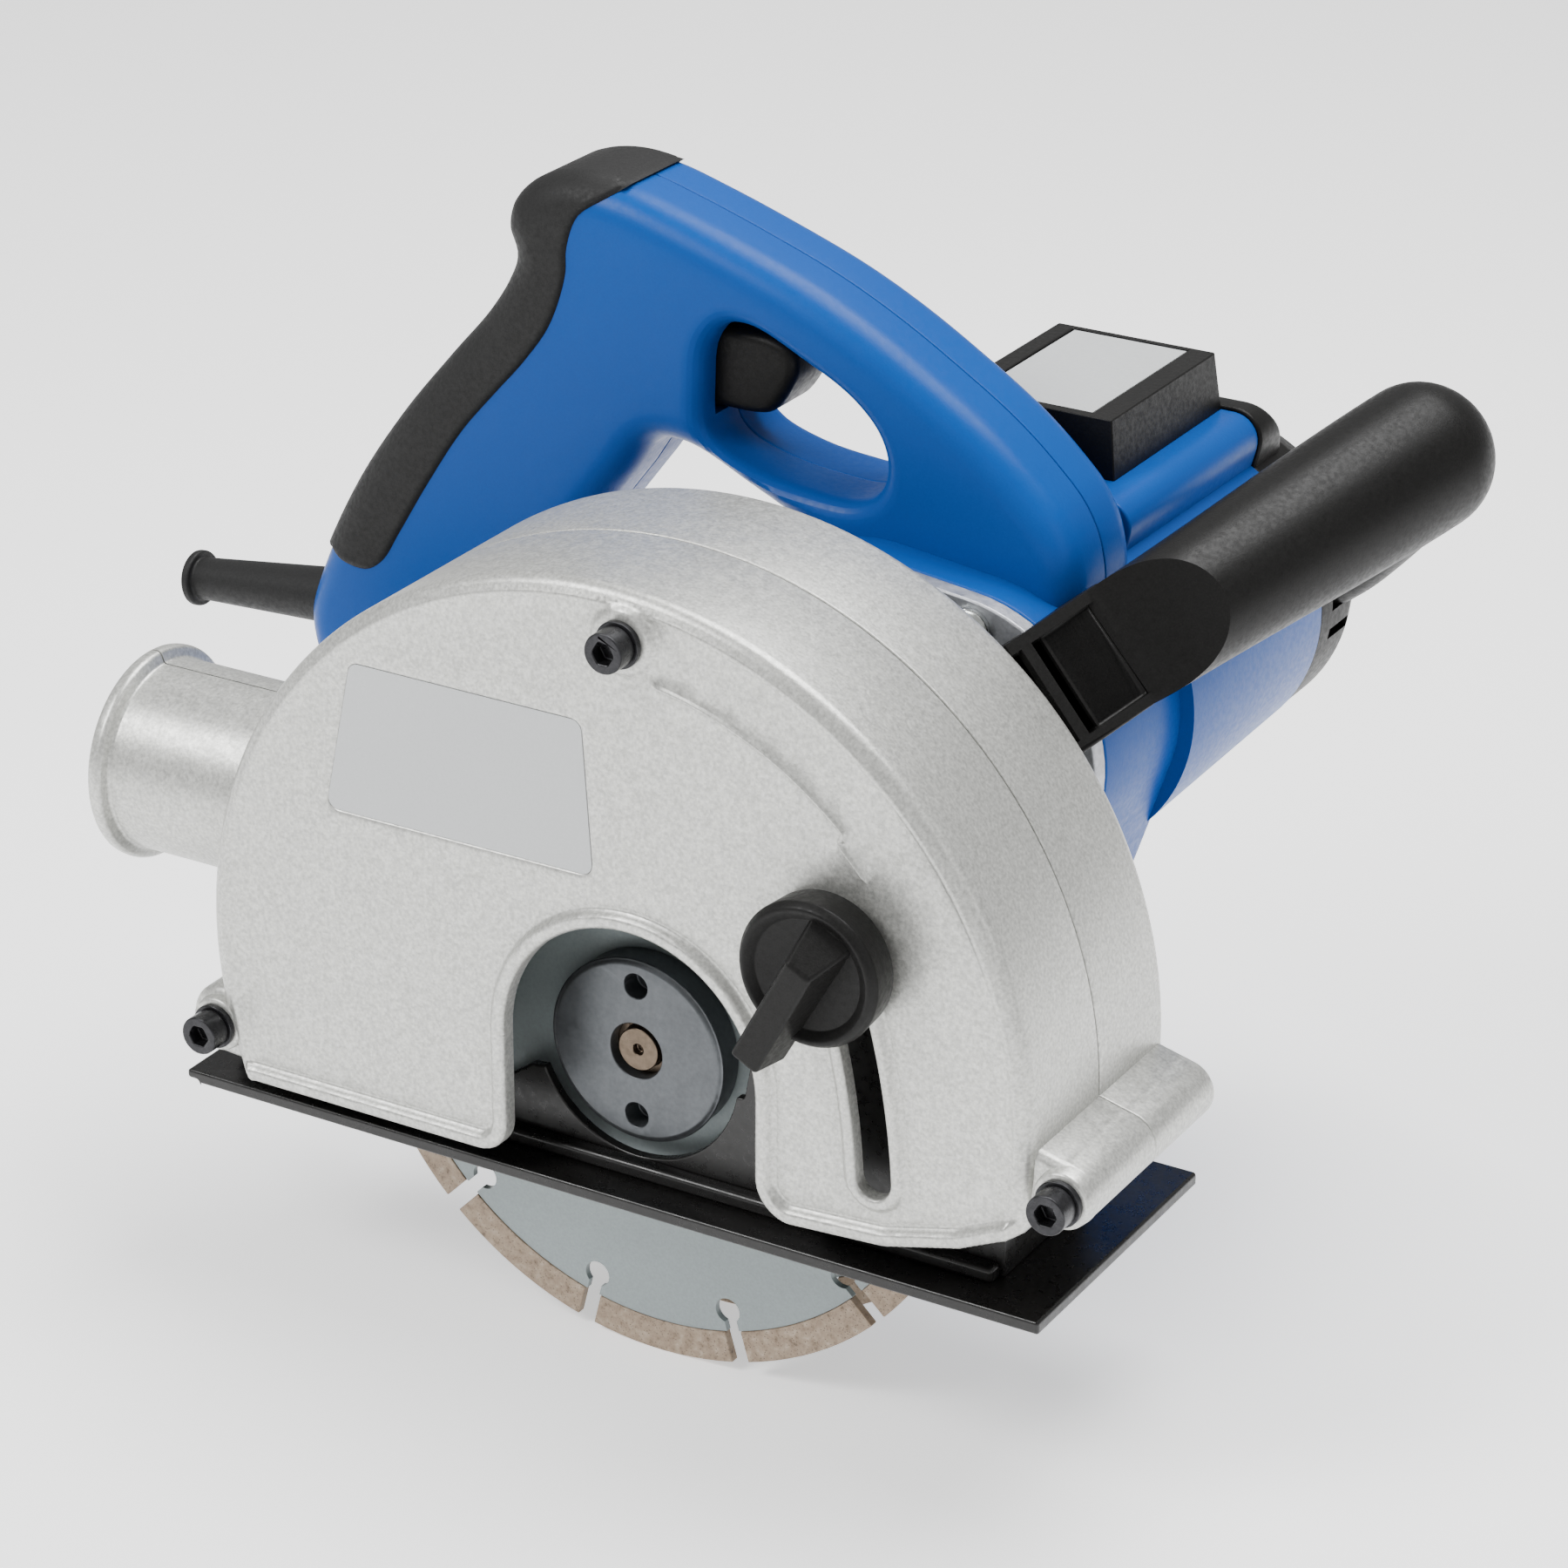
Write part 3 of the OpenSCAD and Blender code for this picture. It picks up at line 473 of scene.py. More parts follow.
def ccw(L):
    return L if area(L) > 0 else L[::-1].copy()


def offset_line(L, ds, closed=True):
    """Copies of the line's points at each of the distances, to its left."""
    N = normals(L, closed)
    return np.vstack([L + N * d for d in ds])


def both_sides(rows):
    return list(rows) + [-r for r in rows]


def smooth(x, a, b):
    """Rises from 0 to 1 between a and b."""
    t = np.clip((x - a) / (b - a), 0, 1)
    return t * t * (3 - 2 * t)


def round_drop(d, r):
    """How far a surface has dropped at distance d inside a round edge of radius r."""
    u = np.clip(r - d, 0, r)
    return r - np.sqrt(np.maximum(r * r - u * u, 0))


def sheet_mesh(loops, offsets, extra, step):
    """Triangulates the region inside loops[0] and outside the others, with rows of points
    at the offsets from every loop, the extra points, and a grid a step apart.
    Returns points, triangles, and the point number of each loop vertex."""
    pts = [np.asarray(L, float) for L in loops]
    first = np.cumsum([0] + [len(p) for p in pts])
    edges = []
    for k, L in enumerate(pts):
        n = len(L)
        edges += [(int(first[k] + i), int(first[k] + (i + 1) % n)) for i in range(n)]
    cand = []
    for k, L in enumerate(pts):
        nrm = normals(L) * (1 if (area(L) > 0) == (k == 0) else -1)
        for d in offsets:
            q = L + nrm * d
            keep = np.ones(len(q), bool)
            for M in pts:
                keep &= line_dist(q, M) > d * 0.93
            cand.append(q[keep])

    def in_region(points, margin):
        ok = sdist(points, pts[0]) > margin
        for M in pts[1:]:
            ok &= sdist(points, M) < -margin
        return ok

    lo, hi = pts[0].min(0), pts[0].max(0)
    gx, gy = np.meshgrid(np.arange(lo[0], hi[0], step), np.arange(lo[1], hi[1], step * 0.87))
    gx = gx + (np.arange(gx.shape[0]) % 2)[:, None] * step / 2
    g = np.stack([gx.ravel(), gy.ravel()], 1)
    last = max(offsets) if len(offsets) else 0.0
    g = g[in_region(g, last + step * 0.4)]
    if extra:
        F = np.vstack(extra)
        F = F[in_region(F, 0.15)]
        if len(F) and len(g):
            near = np.array([((F - p) ** 2).sum(1).min() for p in g]) < (step * 0.45) ** 2
            g = g[~near]
        cand.append(F)
    allp = np.vstack(pts + cand + [g])
    vs, _, fs, ov, _, _ = delaunay_2d_cdt([Vector(p) for p in allp], edges, [], 0, 1e-4, True)
    V = np.array([tuple(v) for v in vs])
    F = np.array([f for f in fs if len(f) == 3])
    C = V[F].mean(1)
    ok = inside(C, pts[0])
    for M in pts[1:]:
        ok &= ~inside(C, M)
    F = F[ok]
    back = {}
    for i, src in enumerate(ov):
        for s in src:
            back.setdefault(s, i)
    ids = [[back[int(first[k] + i)] for i in range(len(L))] for k, L in enumerate(pts)]
    return V, F, ids


def slab(name, loops, front, back, r0=0.5, r1=0.5, step=4.0, extra0=None, extra1=None,
         rings=6, **kw):
    """A solid between two height fields over an XZ region: front(P) and back(P) give y.
    r0 and r1 set how densely each rim is meshed, and the extras add points to each side."""
    t = np.radians(np.linspace(0, 90, rings + 1)[1:])
    V0, F0, I0 = sheet_mesh(loops, r0 * (1 - np.cos(t)) if r0 > 0 else [], extra0, step)
    V1, F1, I1 = sheet_mesh(loops, r1 * (1 - np.cos(t)) if r1 > 0 else [], extra1, step)
    verts = [(p[0], y, p[1]) for p, y in zip(V0, front(V0))]
    verts += [(p[0], y, p[1]) for p, y in zip(V1, back(V1))]
    n = len(V0)
    faces = [tuple(f) for f in F0] + [tuple(int(i) + n for i in f[::-1]) for f in F1]
    for a, b in zip(I0, I1):
        m = len(a)
        for i in range(m):
            j = (i + 1) % m
            faces.append((a[i], a[j], b[j] + n, b[i] + n))
    return add(name, verts, faces, **kw)


def plate(name, loops, y0, y1, r0=0.5, r1=0.5, radii=None, **kw):
    """A flat slab from y0 to y1 with round rims, r0 at the front and r1 at the back.
    radii can give each loop its own pair."""
    loops = [np.asarray(L, float) for L in loops]
    radii = radii or [(r0, r1)] * len(loops)

    def front(P):
        return y0 + np.max([round_drop(line_dist(P, L), r[0]) for L, r in zip(loops, radii)], 0)

    def back(P):
        return y1 - np.max([round_drop(line_dist(P, L), r[1]) for L, r in zip(loops, radii)], 0)

    return slab(name, loops, front, back, max(r[0] for r in radii), max(r[1] for r in radii), **kw)


def lathe(name, profile, origin, axis, seg=96, sweep=(0, 360), up=None, **kw):
    """Turns a profile of (along, radius) about an axis. A whole turn joins up; a part is capped.
    Profile points on the axis become one point when add() welds."""
    ax = Vector(axis).normalized()
    ref = Vector(up) if up else Vector((0, 0, 1)) if abs(ax.z) < 0.9 else Vector((1, 0, 0))
    u = (ref - ax * ref.dot(ax)).normalized()
    w = ax.cross(u)
    o = Vector(origin)
    whole = abs(sweep[1] - sweep[0] - 360) < 1e-6
    n = seg if whole else max(8, int(seg * (sweep[1] - sweep[0]) / 360)) + 1
    ang = np.radians(np.linspace(sweep[0], sweep[1], n, endpoint=not whole))
    verts, faces = [], []
    m = len(profile)
    for a in ang:
        d = u * math.cos(a) + w * math.sin(a)
        for s, r in profile:
            verts.append(tuple(o + ax * s + d * r))
    for i in range(n if whole else n - 1):
        j = (i + 1) % n
        for k in range(m):
            l = (k + 1) % m
            faces.append((i * m + k, i * m + l, j * m + l, j * m + k))
    if not whole:
        faces.append(tuple(range(m)))
        faces.append(tuple(range((n - 1) * m, n * m))[::-1])
    return add(name, verts, faces, **kw)


def fillet(points, radii, seg=4):
    """Rounds the corners of a closed 2D profile, each by its own radius."""
    P = [np.array(p, float) for p in points]
    out = []
    n = len(P)
    for i in range(n):
        a, b, c = P[i - 1], P[i], P[(i + 1) % n]
        r = radii[i]
        u, v = a - b, c - b
        lu, lv = np.linalg.norm(u), np.linalg.norm(v)
        if r <= 0 or lu < 1e-6 or lv < 1e-6:
            out.append(tuple(b))
            continue
        u, v = u / lu, v / lv
        ang = math.acos(float(np.clip(u @ v, -1, 1)))
        if ang > math.radians(176) or ang < 0.02:
            out.append(tuple(b))
            continue
        t = min(r / math.tan(ang / 2), lu * 0.48, lv * 0.48)
        rr = t * math.tan(ang / 2)
        c0 = b + (u + v) / np.linalg.norm(u + v) * (rr / math.sin(ang / 2))
        p, q = b + u * t - c0, b + v * t - c0
        a0, a1 = math.atan2(p[1], p[0]), math.atan2(q[1], q[0])
        d = (a1 - a0 + math.pi) % (2 * math.pi) - math.pi
        for k in range(seg + 1):
            x = a0 + d * k / seg
            out.append((c0[0] + rr * math.cos(x), c0[1] + rr * math.sin(x)))
    return out


def hull_loop(circles, step=1.4):
    """The convex outline round circles (x, z, r), counter-clockwise."""
    pts = []
    for x, z, r in circles:
        t = np.linspace(0, 2 * math.pi, 181)[:-1]
        pts += [(x + r * math.cos(a), z + r * math.sin(a)) for a in t]
    pts = sorted(set(pts))

    def half(p):
        h = []
        for q in p:
            while len(h) > 1 and ((h[-1][0] - h[-2][0]) * (q[1] - h[-2][1])
                                  - (h[-1][1] - h[-2][1]) * (q[0] - h[-2][0])) <= 0:
                h.pop()
            h.append(q)
        return h[:-1]

    return resample(np.array(half(pts) + half(pts[::-1])), step)


def tube(name, path, radii, seg=16, **kw):
    """A round bar along a path of 3D points, with a radius at each."""
    P = np.array(path, float)
    n = len(P)
    T = np.roll(P, -1, 0) - np.roll(P, 1, 0)
    T[0], T[-1] = P[1] - P[0], P[-1] - P[-2]
    T /= np.linalg.norm(T, axis=1)[:, None]
    u = np.cross(T[0], (0.31, 0.74, 0.59))      # any direction that is not along the path
    u /= np.linalg.norm(u)
    verts = []
    for i in range(n):
        u = u - T[i] * (u @ T[i])
        u /= np.linalg.norm(u)
        w = np.cross(T[i], u)
        for k in range(seg):
            a = 2 * math.pi * k / seg
            verts.append(tuple(P[i] + radii[i] * (u * math.cos(a) + w * math.sin(a))))
    faces = []
    for i in range(n - 1):
        for k in range(seg):
            l = (k + 1) % seg
            faces.append((i * seg + k, i * seg + l, (i + 1) * seg + l, (i + 1) * seg + k))
    faces.append(tuple(range(seg))[::-1])
    faces.append(tuple(range((n - 1) * seg, n * seg)))
    return add(name, verts, faces, **kw)


def prism(name, ends, **kw):
    """A solid between two outlines of 3D points with the same number of corners."""
    n = len(ends[0])
    faces = [tuple(range(n))[::-1], tuple(range(n, 2 * n))]
    faces += [(i, (i + 1) % n, (i + 1) % n + n, i + n) for i in range(n)]
    return add(name, ends[0] + ends[1], faces, **kw)


BOX_FACES = [(0, 3, 2, 1), (4, 5, 6, 7), (0, 1, 5, 4), (1, 2, 6, 5), (2, 3, 7, 6), (3, 0, 4, 7)]


def block(name, lo, hi, **kw):
    x0, y0, z0 = lo
    x1, y1, z1 = hi
    v = [(x0, y0, z0), (x1, y0, z0), (x1, y1, z0), (x0, y1, z0),
         (x0, y0, z1), (x1, y0, z1), (x1, y1, z1), (x0, y1, z1)]
    return add(name, v, BOX_FACES, **kw)


# ---------------------------------------------------------------- places taken from the CAD
# Millimetres from the flange nut's outer face on the spindle axis: X forward, Y to the motor,
# Z up. A 2D point is (x, z).

GC = np.array([1.5, 11.0])          # middle of the guard's round top
GR = 98.5                           # its radius
FACE, SPLIT, BACK = -15.0, 14.0, 43.5       # the guard's near face, seam and back
PIVOT = np.array([-97.0, -13.0])    # the base's pivot bolt
LUG = np.array([106.5, 2.5])        # the guard screw at the front
TOP = np.array([7.5, 99.0])         # the guard screw at the top
MOTOR = np.array([43.0, 58.0])
PORT_Z = 32.5                       # height of the dust port's axis
SLOT_R = 162.5                      # radius of the curved slot about the pivot
SLOT_FROM, SLOT_TO = 3.0, 20.6      # its ends, in degrees
CLAMP = polar(PIVOT, SLOT_R, 20.2)  # the depth clamp bolt and knob
# The motor housing's front end, as circles (x, z, radius)
O_CIRCLES = [(0, 0, 26), (21.13, 23.03, 44), (43, 58, 34.3), (20, 62, 33)]

ALONG_X, ALONG_Y = (1, 0, 0), (0, 1, 0)
SEAM_GAP = 0.22                     # half of the gap that shows at the guard's seam
SEAM_ROUND = 0.35                   # rounding of the edges at a seam
SILVER = dict(slot="silver_paint", angle=30)
BLUE = dict(slot="blue_plastic", angle=40)
BLACK = dict(slot="black_plastic")


def on_axis(c):
    """The point of an axis along Y that passes through the 2D point."""
    return (c[0], 0, c[1])


# ---------------------------------------------------------------- guard

LOW_LEFT = (GC[0] - math.sqrt(GR ** 2 - (-23.5 - GC[1]) ** 2), -23.5)
LOW_FRONT = [(68, -18.5), (85, -14), (98.3, -7.8)]


def guard_angle(p):
    return math.degrees(math.atan2(p[1] - GC[1], p[0] - GC[0]))


OUTER_LINE = arc(GC, GR, guard_angle(LOW_FRONT[-1]), guard_angle(LOW_LEFT) + 360, 1.4)


def notch(step):
    """The nut window's notch in the cover's lower edge, rearmost first."""
    return [arc((-29, -16.5), 7, -90, 0, 1.0), [(-22, -16.5)], arc((8, 6), 30, 180, 0, step),
            [(38, -11)], arc((47, -11), 9, 180, 262, 1.0)]


def guard_loop(lower_edge, step=1.4):
    """The guard's outline with this lower edge, counter-clockwise from the lower left."""
    L = np.vstack([[LOW_LEFT]] + lower_edge + [LOW_FRONT, OUTER_LINE])
    keep = np.linalg.norm(L - np.roll(L, 1, 0), axis=1) > 0.05
    return resample(L[keep], step)


NOTCH = resample(np.vstack([[LOW_LEFT]] + notch(1.2) + [LOW_FRONT]), 1.2, closed=False)
COVER_LOOP = guard_loop([[(-29, -23.5)]] + notch(1.4))
HOUSING_LOOP = guard_loop([[(-22, -23.5), (44, -20.5)]])


def slot_loop(r=4.0, step=1.2):
    """The curved slot, r being half of its width."""
    lo, hi = SLOT_FROM, SLOT_TO
    cl, ch = polar(PIVOT, SLOT_R, lo), polar(PIVOT, SLOT_R, hi)
    return resample(np.vstack([
        arc(PIVOT, SLOT_R + r, lo, hi, step), arc(ch, r, hi, hi + 180, 0.8),
        arc(PIVOT, SLOT_R - r, hi, lo, step), arc(cl, r, lo + 180, lo + 360, 0.8)]), step)


SLOT = slot_loop()
LABEL = resample(np.vstack([arc((-56.5, 77.5), 2.5, 175, 90, 0.7), arc((-5, 77.2), 2.5, 90, 0, 0.7),
                            arc((-3, 48.5), 2.5, 0, -90, 0.7),
                            arc((-62.6, 48.5), 2.5, -90, -175, 0.7)])[::-1], 1.2)
ARC_LINE = np.vstack([arc(GC, 81, 80, 46, 1.0), arc(GC, 79.6, 46, 45.8, 0.5),
                      arc(GC, 78.4, 45.6, 40, 1.0)])


def cover_front(P):
    """The cover's outer face, from its round edge inward."""
    rim = line_dist(P, OUTER_LINE, closed=False)
    y = FACE + round_drop(rim, 3.0) - 0.35 * (1 - smooth(np.abs(rim - 3.4), 0.3, 1.0))
    # Raised rims along the notch and the slot: (distance, width, height, edge radius)
    for d, w, h, e in ((line_dist(P, NOTCH, closed=False), 3.4, 1.5, 1.3),
                       (line_dist(P, SLOT), 2.6, 1.1, 0.8)):
        y = y - h * (1 - smooth(d, w - 0.8, w + 0.6)) * smooth(rim, 0.5, 4.0)
        y = y + 0.25 * (1 - smooth(np.abs(d - w - 1.0), 0.2, 0.9)) * smooth(rim, 2.0, 6.0)
        y = y + round_drop(d, e)
    # The label's recess, and the lip round it
    sl = sdist(P, LABEL)
    y = y + 0.5 * smooth(sl, -0.3, 0.25)
    y = y - 0.25 * smooth(sl, -1.7, -0.9) * (1 - smooth(sl, -0.9, -0.3))
    # The top screw's boss, and the embossed arc
    y = y - 1.2 * (1 - smooth(np.linalg.norm(P - TOP, axis=1), 6.4 - 0.3, 6.4 + 1.6))
    y = y - 0.6 * (1 - smooth(line_dist(P, ARC_LINE, closed=False), 0.2, 0.7))
    return y


def cover_back(P):
    rim = line_dist(P, OUTER_LINE, closed=False)
    return SPLIT - SEAM_GAP - round_drop(rim, SEAM_ROUND)


# Rows of mesh points that follow the face's edges, by distance
NOTCH_ROWS = [0.12, 0.4, 0.9, 1.5, 2.1, 2.6, 3.0, 3.4, 3.8, 4.2, 4.7, 5.3]
SLOT_ROWS = [0.1, 0.3, 0.7, 1.2, 1.8, 2.2, 2.6, 3.0, 3.4, 3.9, 4.5]
face_points = [offset_line(NOTCH, both_sides(NOTCH_ROWS), closed=False),
               offset_line(OUTER_LINE, [2.4, 2.8, 3.1, 3.4, 3.7, 4.1, 4.5], closed=False),
               offset_line(SLOT, both_sides(SLOT_ROWS)),
               offset_line(LABEL, [-0.3, -0.15, 0.0, 0.12, 0.27, -1.2, 1.2]),
               offset_line(ARC_LINE, [-0.8, -0.45, -0.15, 0.15, 0.45, 0.8], closed=False)]
for r in (5.2, 6.1, 6.5, 7.0, 7.6, 8.1, 9.0):
    face_points.append(np.array([TOP + r * np.array([math.cos(a), math.sin(a)])
                                 for a in np.linspace(0, 2 * math.pi, 41)[:-1]]))

cover = slab("guard_cover_skin", [COVER_LOOP, SLOT], cover_front, cover_back, r0=2.2,
             r1=SEAM_ROUND, extra0=face_points, replaces=["guard_cover"], **SILVER)
housing = plate("guard_housing_skin", [HOUSING_LOOP], SPLIT + SEAM_GAP, BACK, SEAM_ROUND, 3.0,
                step=5.0, replaces=["guard_housing"], **SILVER)

# The blades' room inside both halves
room = np.vstack([[(-94.5, -60), (97.5, -60)], arc(GC, GR - 2.5, 0, 180, 2.0)])
cut(cover, plate("room_a", [room], FACE + 2.5, SPLIT + 2, 2.5, 0.0, step=12, body=None))
cut(housing, plate("room_b", [room], SPLIT - 2, BACK - 3, 0.0, 2.0, step=12, body=None))


def drill(ob, c, axis, r, length):
    cut(ob, lathe("drill", [(0, 0.0), (0, r), (length, r), (length, 0.0)], c, axis, seg=72,
                  body=None))


for ob in (cover, housing):
    drill(ob, (-140, SPLIT, PORT_Z), ALONG_X, 18.0, 60)
drill(housing, (0, 35, 0), ALONG_Y, 21.05, 20)
for ob in (cover, housing):
    paint(ob, "silver_paint")
    finish_mesh(ob.data, 58)

# Dust port halves, one on each side of the guard's seam
port_wall = fillet([(-133, 18.0), (-133, 23.6), (-129.6, 23.9), (-128.6, 21.2), (-85, 21.2),
                    (-85, 18.0)], [0.9, 1.5, 1.4, 0.9, 0.2, 0.2], 5)
for name, sweep, dy in (("dust_port_near", (90, 270), -SEAM_GAP),
                        ("dust_port_far", (-90, 90), SEAM_GAP)):
    lathe(name, port_wall, (0, SPLIT + dy, PORT_Z), ALONG_X, seg=120, sweep=sweep, up=ALONG_Y,
          **SILVER)

# Screw lugs in two halves like the guard: centre, a point inside the guard, radius, near half's end
LUGS = ((LUG, (92.5, 5.2), 6.4, SPLIT - 0.08), (PIVOT, (-86, -13), 8.0, -0.7))
SCREW_R = 3.0
for k, (c, inward, r, near_end) in enumerate(LUGS):
    loops = [hull_loop([(c[0], c[1], r), (*inward, r + 0.8)], 1.0),
             arc(c, SCREW_R, 0, 360, 0.7)[:-1]]
    plate(f"lug_cover_{k}", loops, FACE + 2.0, near_end, radii=[(2.2, 0.35), (0.3, 0.3)], step=3,
          **SILVER)
    plate(f"lug_housing_{k}", loops, SPLIT + 0.08, BACK - 2, radii=[(0.35, 1.8), (0.3, 0.3)],
          step=3, **SILVER)
    boss = [(FACE, SCREW_R), (FACE, 6.1), (FACE + 3.5, 6.5), (FACE + 3.5, SCREW_R)]
    lathe(f"lug_boss_{k}", fillet(boss, [0.3, 0.8, 0, 0], 4), on_axis(c), ALONG_Y, seg=64,
          **SILVER)
for name, y0, y1 in (("screw_column_near", FACE + 2.4, SPLIT - 0.1),
                     ("screw_column_far", SPLIT + 0.1, BACK - 2.9)):
    lathe(name, [(y0, SCREW_R), (y0, 5.5), (y1, 5.5), (y1, SCREW_R)], on_axis(TOP), ALONG_Y,
          seg=48, slot="silver_paint")


# ---------------------------------------------------------------- main handle

H_OUT = [(-122, 28.5), (-128, 33), (-131, 45), (-127.5, 57), (-116.5, 79), (-104, 97.3),
         (-90.5, 113.5), (-80.5, 125), (-74.5, 134), (-72.2, 140.5), (-74, 146.5), (-72.6, 152),
         (-66.5, 157.3), (-57, 160), (-46, 159.3), (-34, 156.2), (-17, 150.8), (0, 144.6),
         (14, 138), (28, 130), (42, 121), (52, 112.7), (58.8, 105.4), (62.6, 97), (63, 86),
         (56, 80), (40, 78.5), (20, 80), (6, 88.4), (-15, 98.4), (-30, 104.6), (-38, 104.2),
         (-46, 94), (-57, 79.5), (-70, 62), (-80, 48), (-86.5, 37), (-91, 29.5), (-98, 26.6),
         (-112, 26.8)]
H_HOLE = [(-24.5, 110), (-21, 106), (-11.5, 102.6), (0, 101), (11.5, 101), (17, 104),
          (18.8, 110), (16.8, 116.5), (10.5, 123), (-1.5, 129.5), (-14, 134.6), (-20, 134),
          (-24, 129), (-25, 120)]
HO = ccw(spline(H_OUT, 1.5))
HH = ccw(spline(H_HOLE, 1.3))
HY0, HYM, HY1 = 67.0, 82.5, 98.0    # the handle's near side, seam and far side
RIM, RIM_HOLE = 7.5, 4.5            # edge rounding outside and at the hand hole
HANDLE_GAP = 0.12                   # half of the gap at the handle's seam


def handle_drop(P):
    """How far the handle's side has dropped below its flat at each point."""
    outside = round_drop(np.maximum(sdist(P, HO), 0), RIM)
    return np.maximum(outside, round_drop(line_dist(P, HH), RIM_HOLE))


def seam_drop(P):
    """The rounding of both halves' edges at the handle's seam."""
    return round_drop(np.minimum(line_dist(P, HO), line_dist(P, HH)), SEAM_ROUND)


hole_points = [offset_line(HH, [-0.4, -1.2, -2.2, -3.4, -5.0])]
half_look = dict(step=4.5, rings=8, **BLUE)
near = slab("handle_near_skin", [HO, HH], lambda P: HY0 + handle_drop(P),
            lambda P: HYM - HANDLE_GAP - seam_drop(P), r0=RIM, r1=SEAM_ROUND,
            extra0=hole_points, replaces=["handle_near_shell"], **half_look)
far = slab("handle_far_skin", [HO, HH], lambda P: HYM + HANDLE_GAP + seam_drop(P),
           lambda P: HY1 - handle_drop(P), r0=SEAM_ROUND, r1=RIM,
           extra1=hole_points, replaces=["handle_far_shell"], **half_look)
for ob in (near, far):
    cut(ob, block("pocket", (-40, HYM - 9, 112), (-19, HYM + 9, 133.2), body=None))
    paint(ob, "blue_plastic")
    finish_mesh(ob.data, 40)

# The soft grip: the same surface, raised, ending in a rolled edge
GRIP_LINE = [(-43.5, 161.5), (-48, 157.2), (-54.5, 152), (-57.2, 145), (-57.6, 139), (-61.8, 127),
             (-68.5, 117.5), (-76, 109), (-85, 98.5), (-94.5, 84.3), (-102.8, 70.6),
             (-107.2, 63.6), (-112, 60.3), (-117.8, 60.6), (-123.5, 63.2), (-129.5, 66)]
GRIP_ENDS = (-44.2, 160.3), (-125.8, 63.8)      # where the grip meets the handle's outline
grip_outer = HO - normals(HO) * 0.9
a, b = (int(np.argmin(np.linalg.norm(grip_outer - np.array(p), axis=1))) for p in GRIP_ENDS)
run = grip_outer[a:b + 1] if a < b else np.vstack([grip_outer[a:], grip_outer[:b + 1]])
edge_line = spline(GRIP_LINE, 1.3, closed=False)
GRIP_EDGE = edge_line[sdist(edge_line, grip_outer) > 1.0]
GRIP = ccw(relax(resample(np.vstack([run, GRIP_EDGE[::-1]]), 1.3), 2))


def grip_side(P):
    drop = round_drop(np.maximum(sdist(P, grip_outer), 0), RIM + 0.4)
    e = line_dist(P, GRIP_EDGE, closed=False)
    return drop - 0.85 + 1.9 * (1 - smooth(e, -0.6, 1.5))


EDGE_ROWS = [0.25, 0.55, 0.9, 1.3, 1.9, 3.0]
edge_points = [offset_line(GRIP_EDGE, EDGE_ROWS, closed=False),
               offset_line(GRIP_EDGE, [-r for r in EDGE_ROWS], closed=False)]
slab("grip_skin", [GRIP], lambda P: HY0 + grip_side(P), lambda P: HY1 - grip_side(P), r0=RIM,
     r1=RIM, step=3.0, rings=8, extra0=edge_points, extra1=edge_points, slot="soft_grip",
     replaces=["grip_overmould"], angle=60)

# Trigger with a finger curve
TRIGGER = ccw(spline([(-31.5, 131.6), (-22, 131.9), (-11, 131.1), (-6.6, 128.6), (-6.2, 124),
                      (-8.6, 118.6), (-12.2, 114.4), (-16, 113.4), (-24, 113.3), (-31.5, 113.6),
                      (-32.6, 122.5)], 1.0))
plate("trigger_skin", [TRIGGER], HYM - 8.6, HYM + 8.6, 2.6, 2.6, step=3, body="trigger",
      replaces=["trigger"], angle=45, **BLACK)


# ---------------------------------------------------------------- motor, collar and ridge

CAP_FROM = 158                      # where the motor housing ends and the end cap begins
plate("collar_skin", [hull_loop(O_CIRCLES, 1.8)], 58.1, 97.7, 0.7, 5.0, step=7,
      replaces=["motor_housing"], **BLUE)
barrel = fillet([(92, 30), (92, 37.6), (CAP_FROM, 36.6), (CAP_FROM, 34), (150, 33.9), (100, 33.9),
                 (100, 30)], [0, 0, 0.7, 0.3, 0, 0, 0], 4)
lathe("motor_barrel", barrel, on_axis(MOTOR), ALONG_Y, seg=128, **BLUE)


def ridge_loop(r, x0, x1):
    """The flat ridge on top of the motor: corner radius, and its ends inside the barrel."""
    return resample(np.vstack([arc((56.3, 95.5), r, -15, 90, 0.9),
                               arc((14, 95.5), r, 90, 195, 0.9), [(x0, 72), (x1, 72)]]), 1.2)


plate("motor_ridge", [ridge_loop(6, 20, 56)], 96, CAP_FROM, 0.6, 0.6, step=6, **BLUE)

# ---------------------------------------------------------------- end cap

cap_profile = fillet([(CAP_FROM, 32.5), (CAP_FROM, 36.3), (174, 36.3), (181.5, 33.6), (187, 28.0),
                      (187, 0.0), (180, 0.0), (180, 32.5)],
                     [0.3, 0.7, 5.0, 5.0, 3.5, 0, 0, 1.0], 6)
cap = lathe("end_cap_skin", cap_profile, on_axis(MOTOR), ALONG_Y, seg=128,
            replaces=["end_cap"], angle=35, **BLACK)
for i in range(-3, 4):
    z = i * 6.5
    cut(cap, block("vent", (29, 176, 58 - 1.4 + z), (57, 190, 59.4 + z), body=None))
for x in (43 - 37, 43 + 37):
    for z in (50, 57, 64):
        cut(cap, block("side_vent", (x - 8, 164, z), (x + 8, 174, z + 2.6), body=None))
paint(cap, "black_plastic")
finish_mesh(cap.data, 35)
CAP_RIDGE = ridge_loop(6.7, 19, 57)


def cap_ridge_front(P):
    return CAP_FROM + round_drop(line_dist(P, CAP_RIDGE), 0.7)


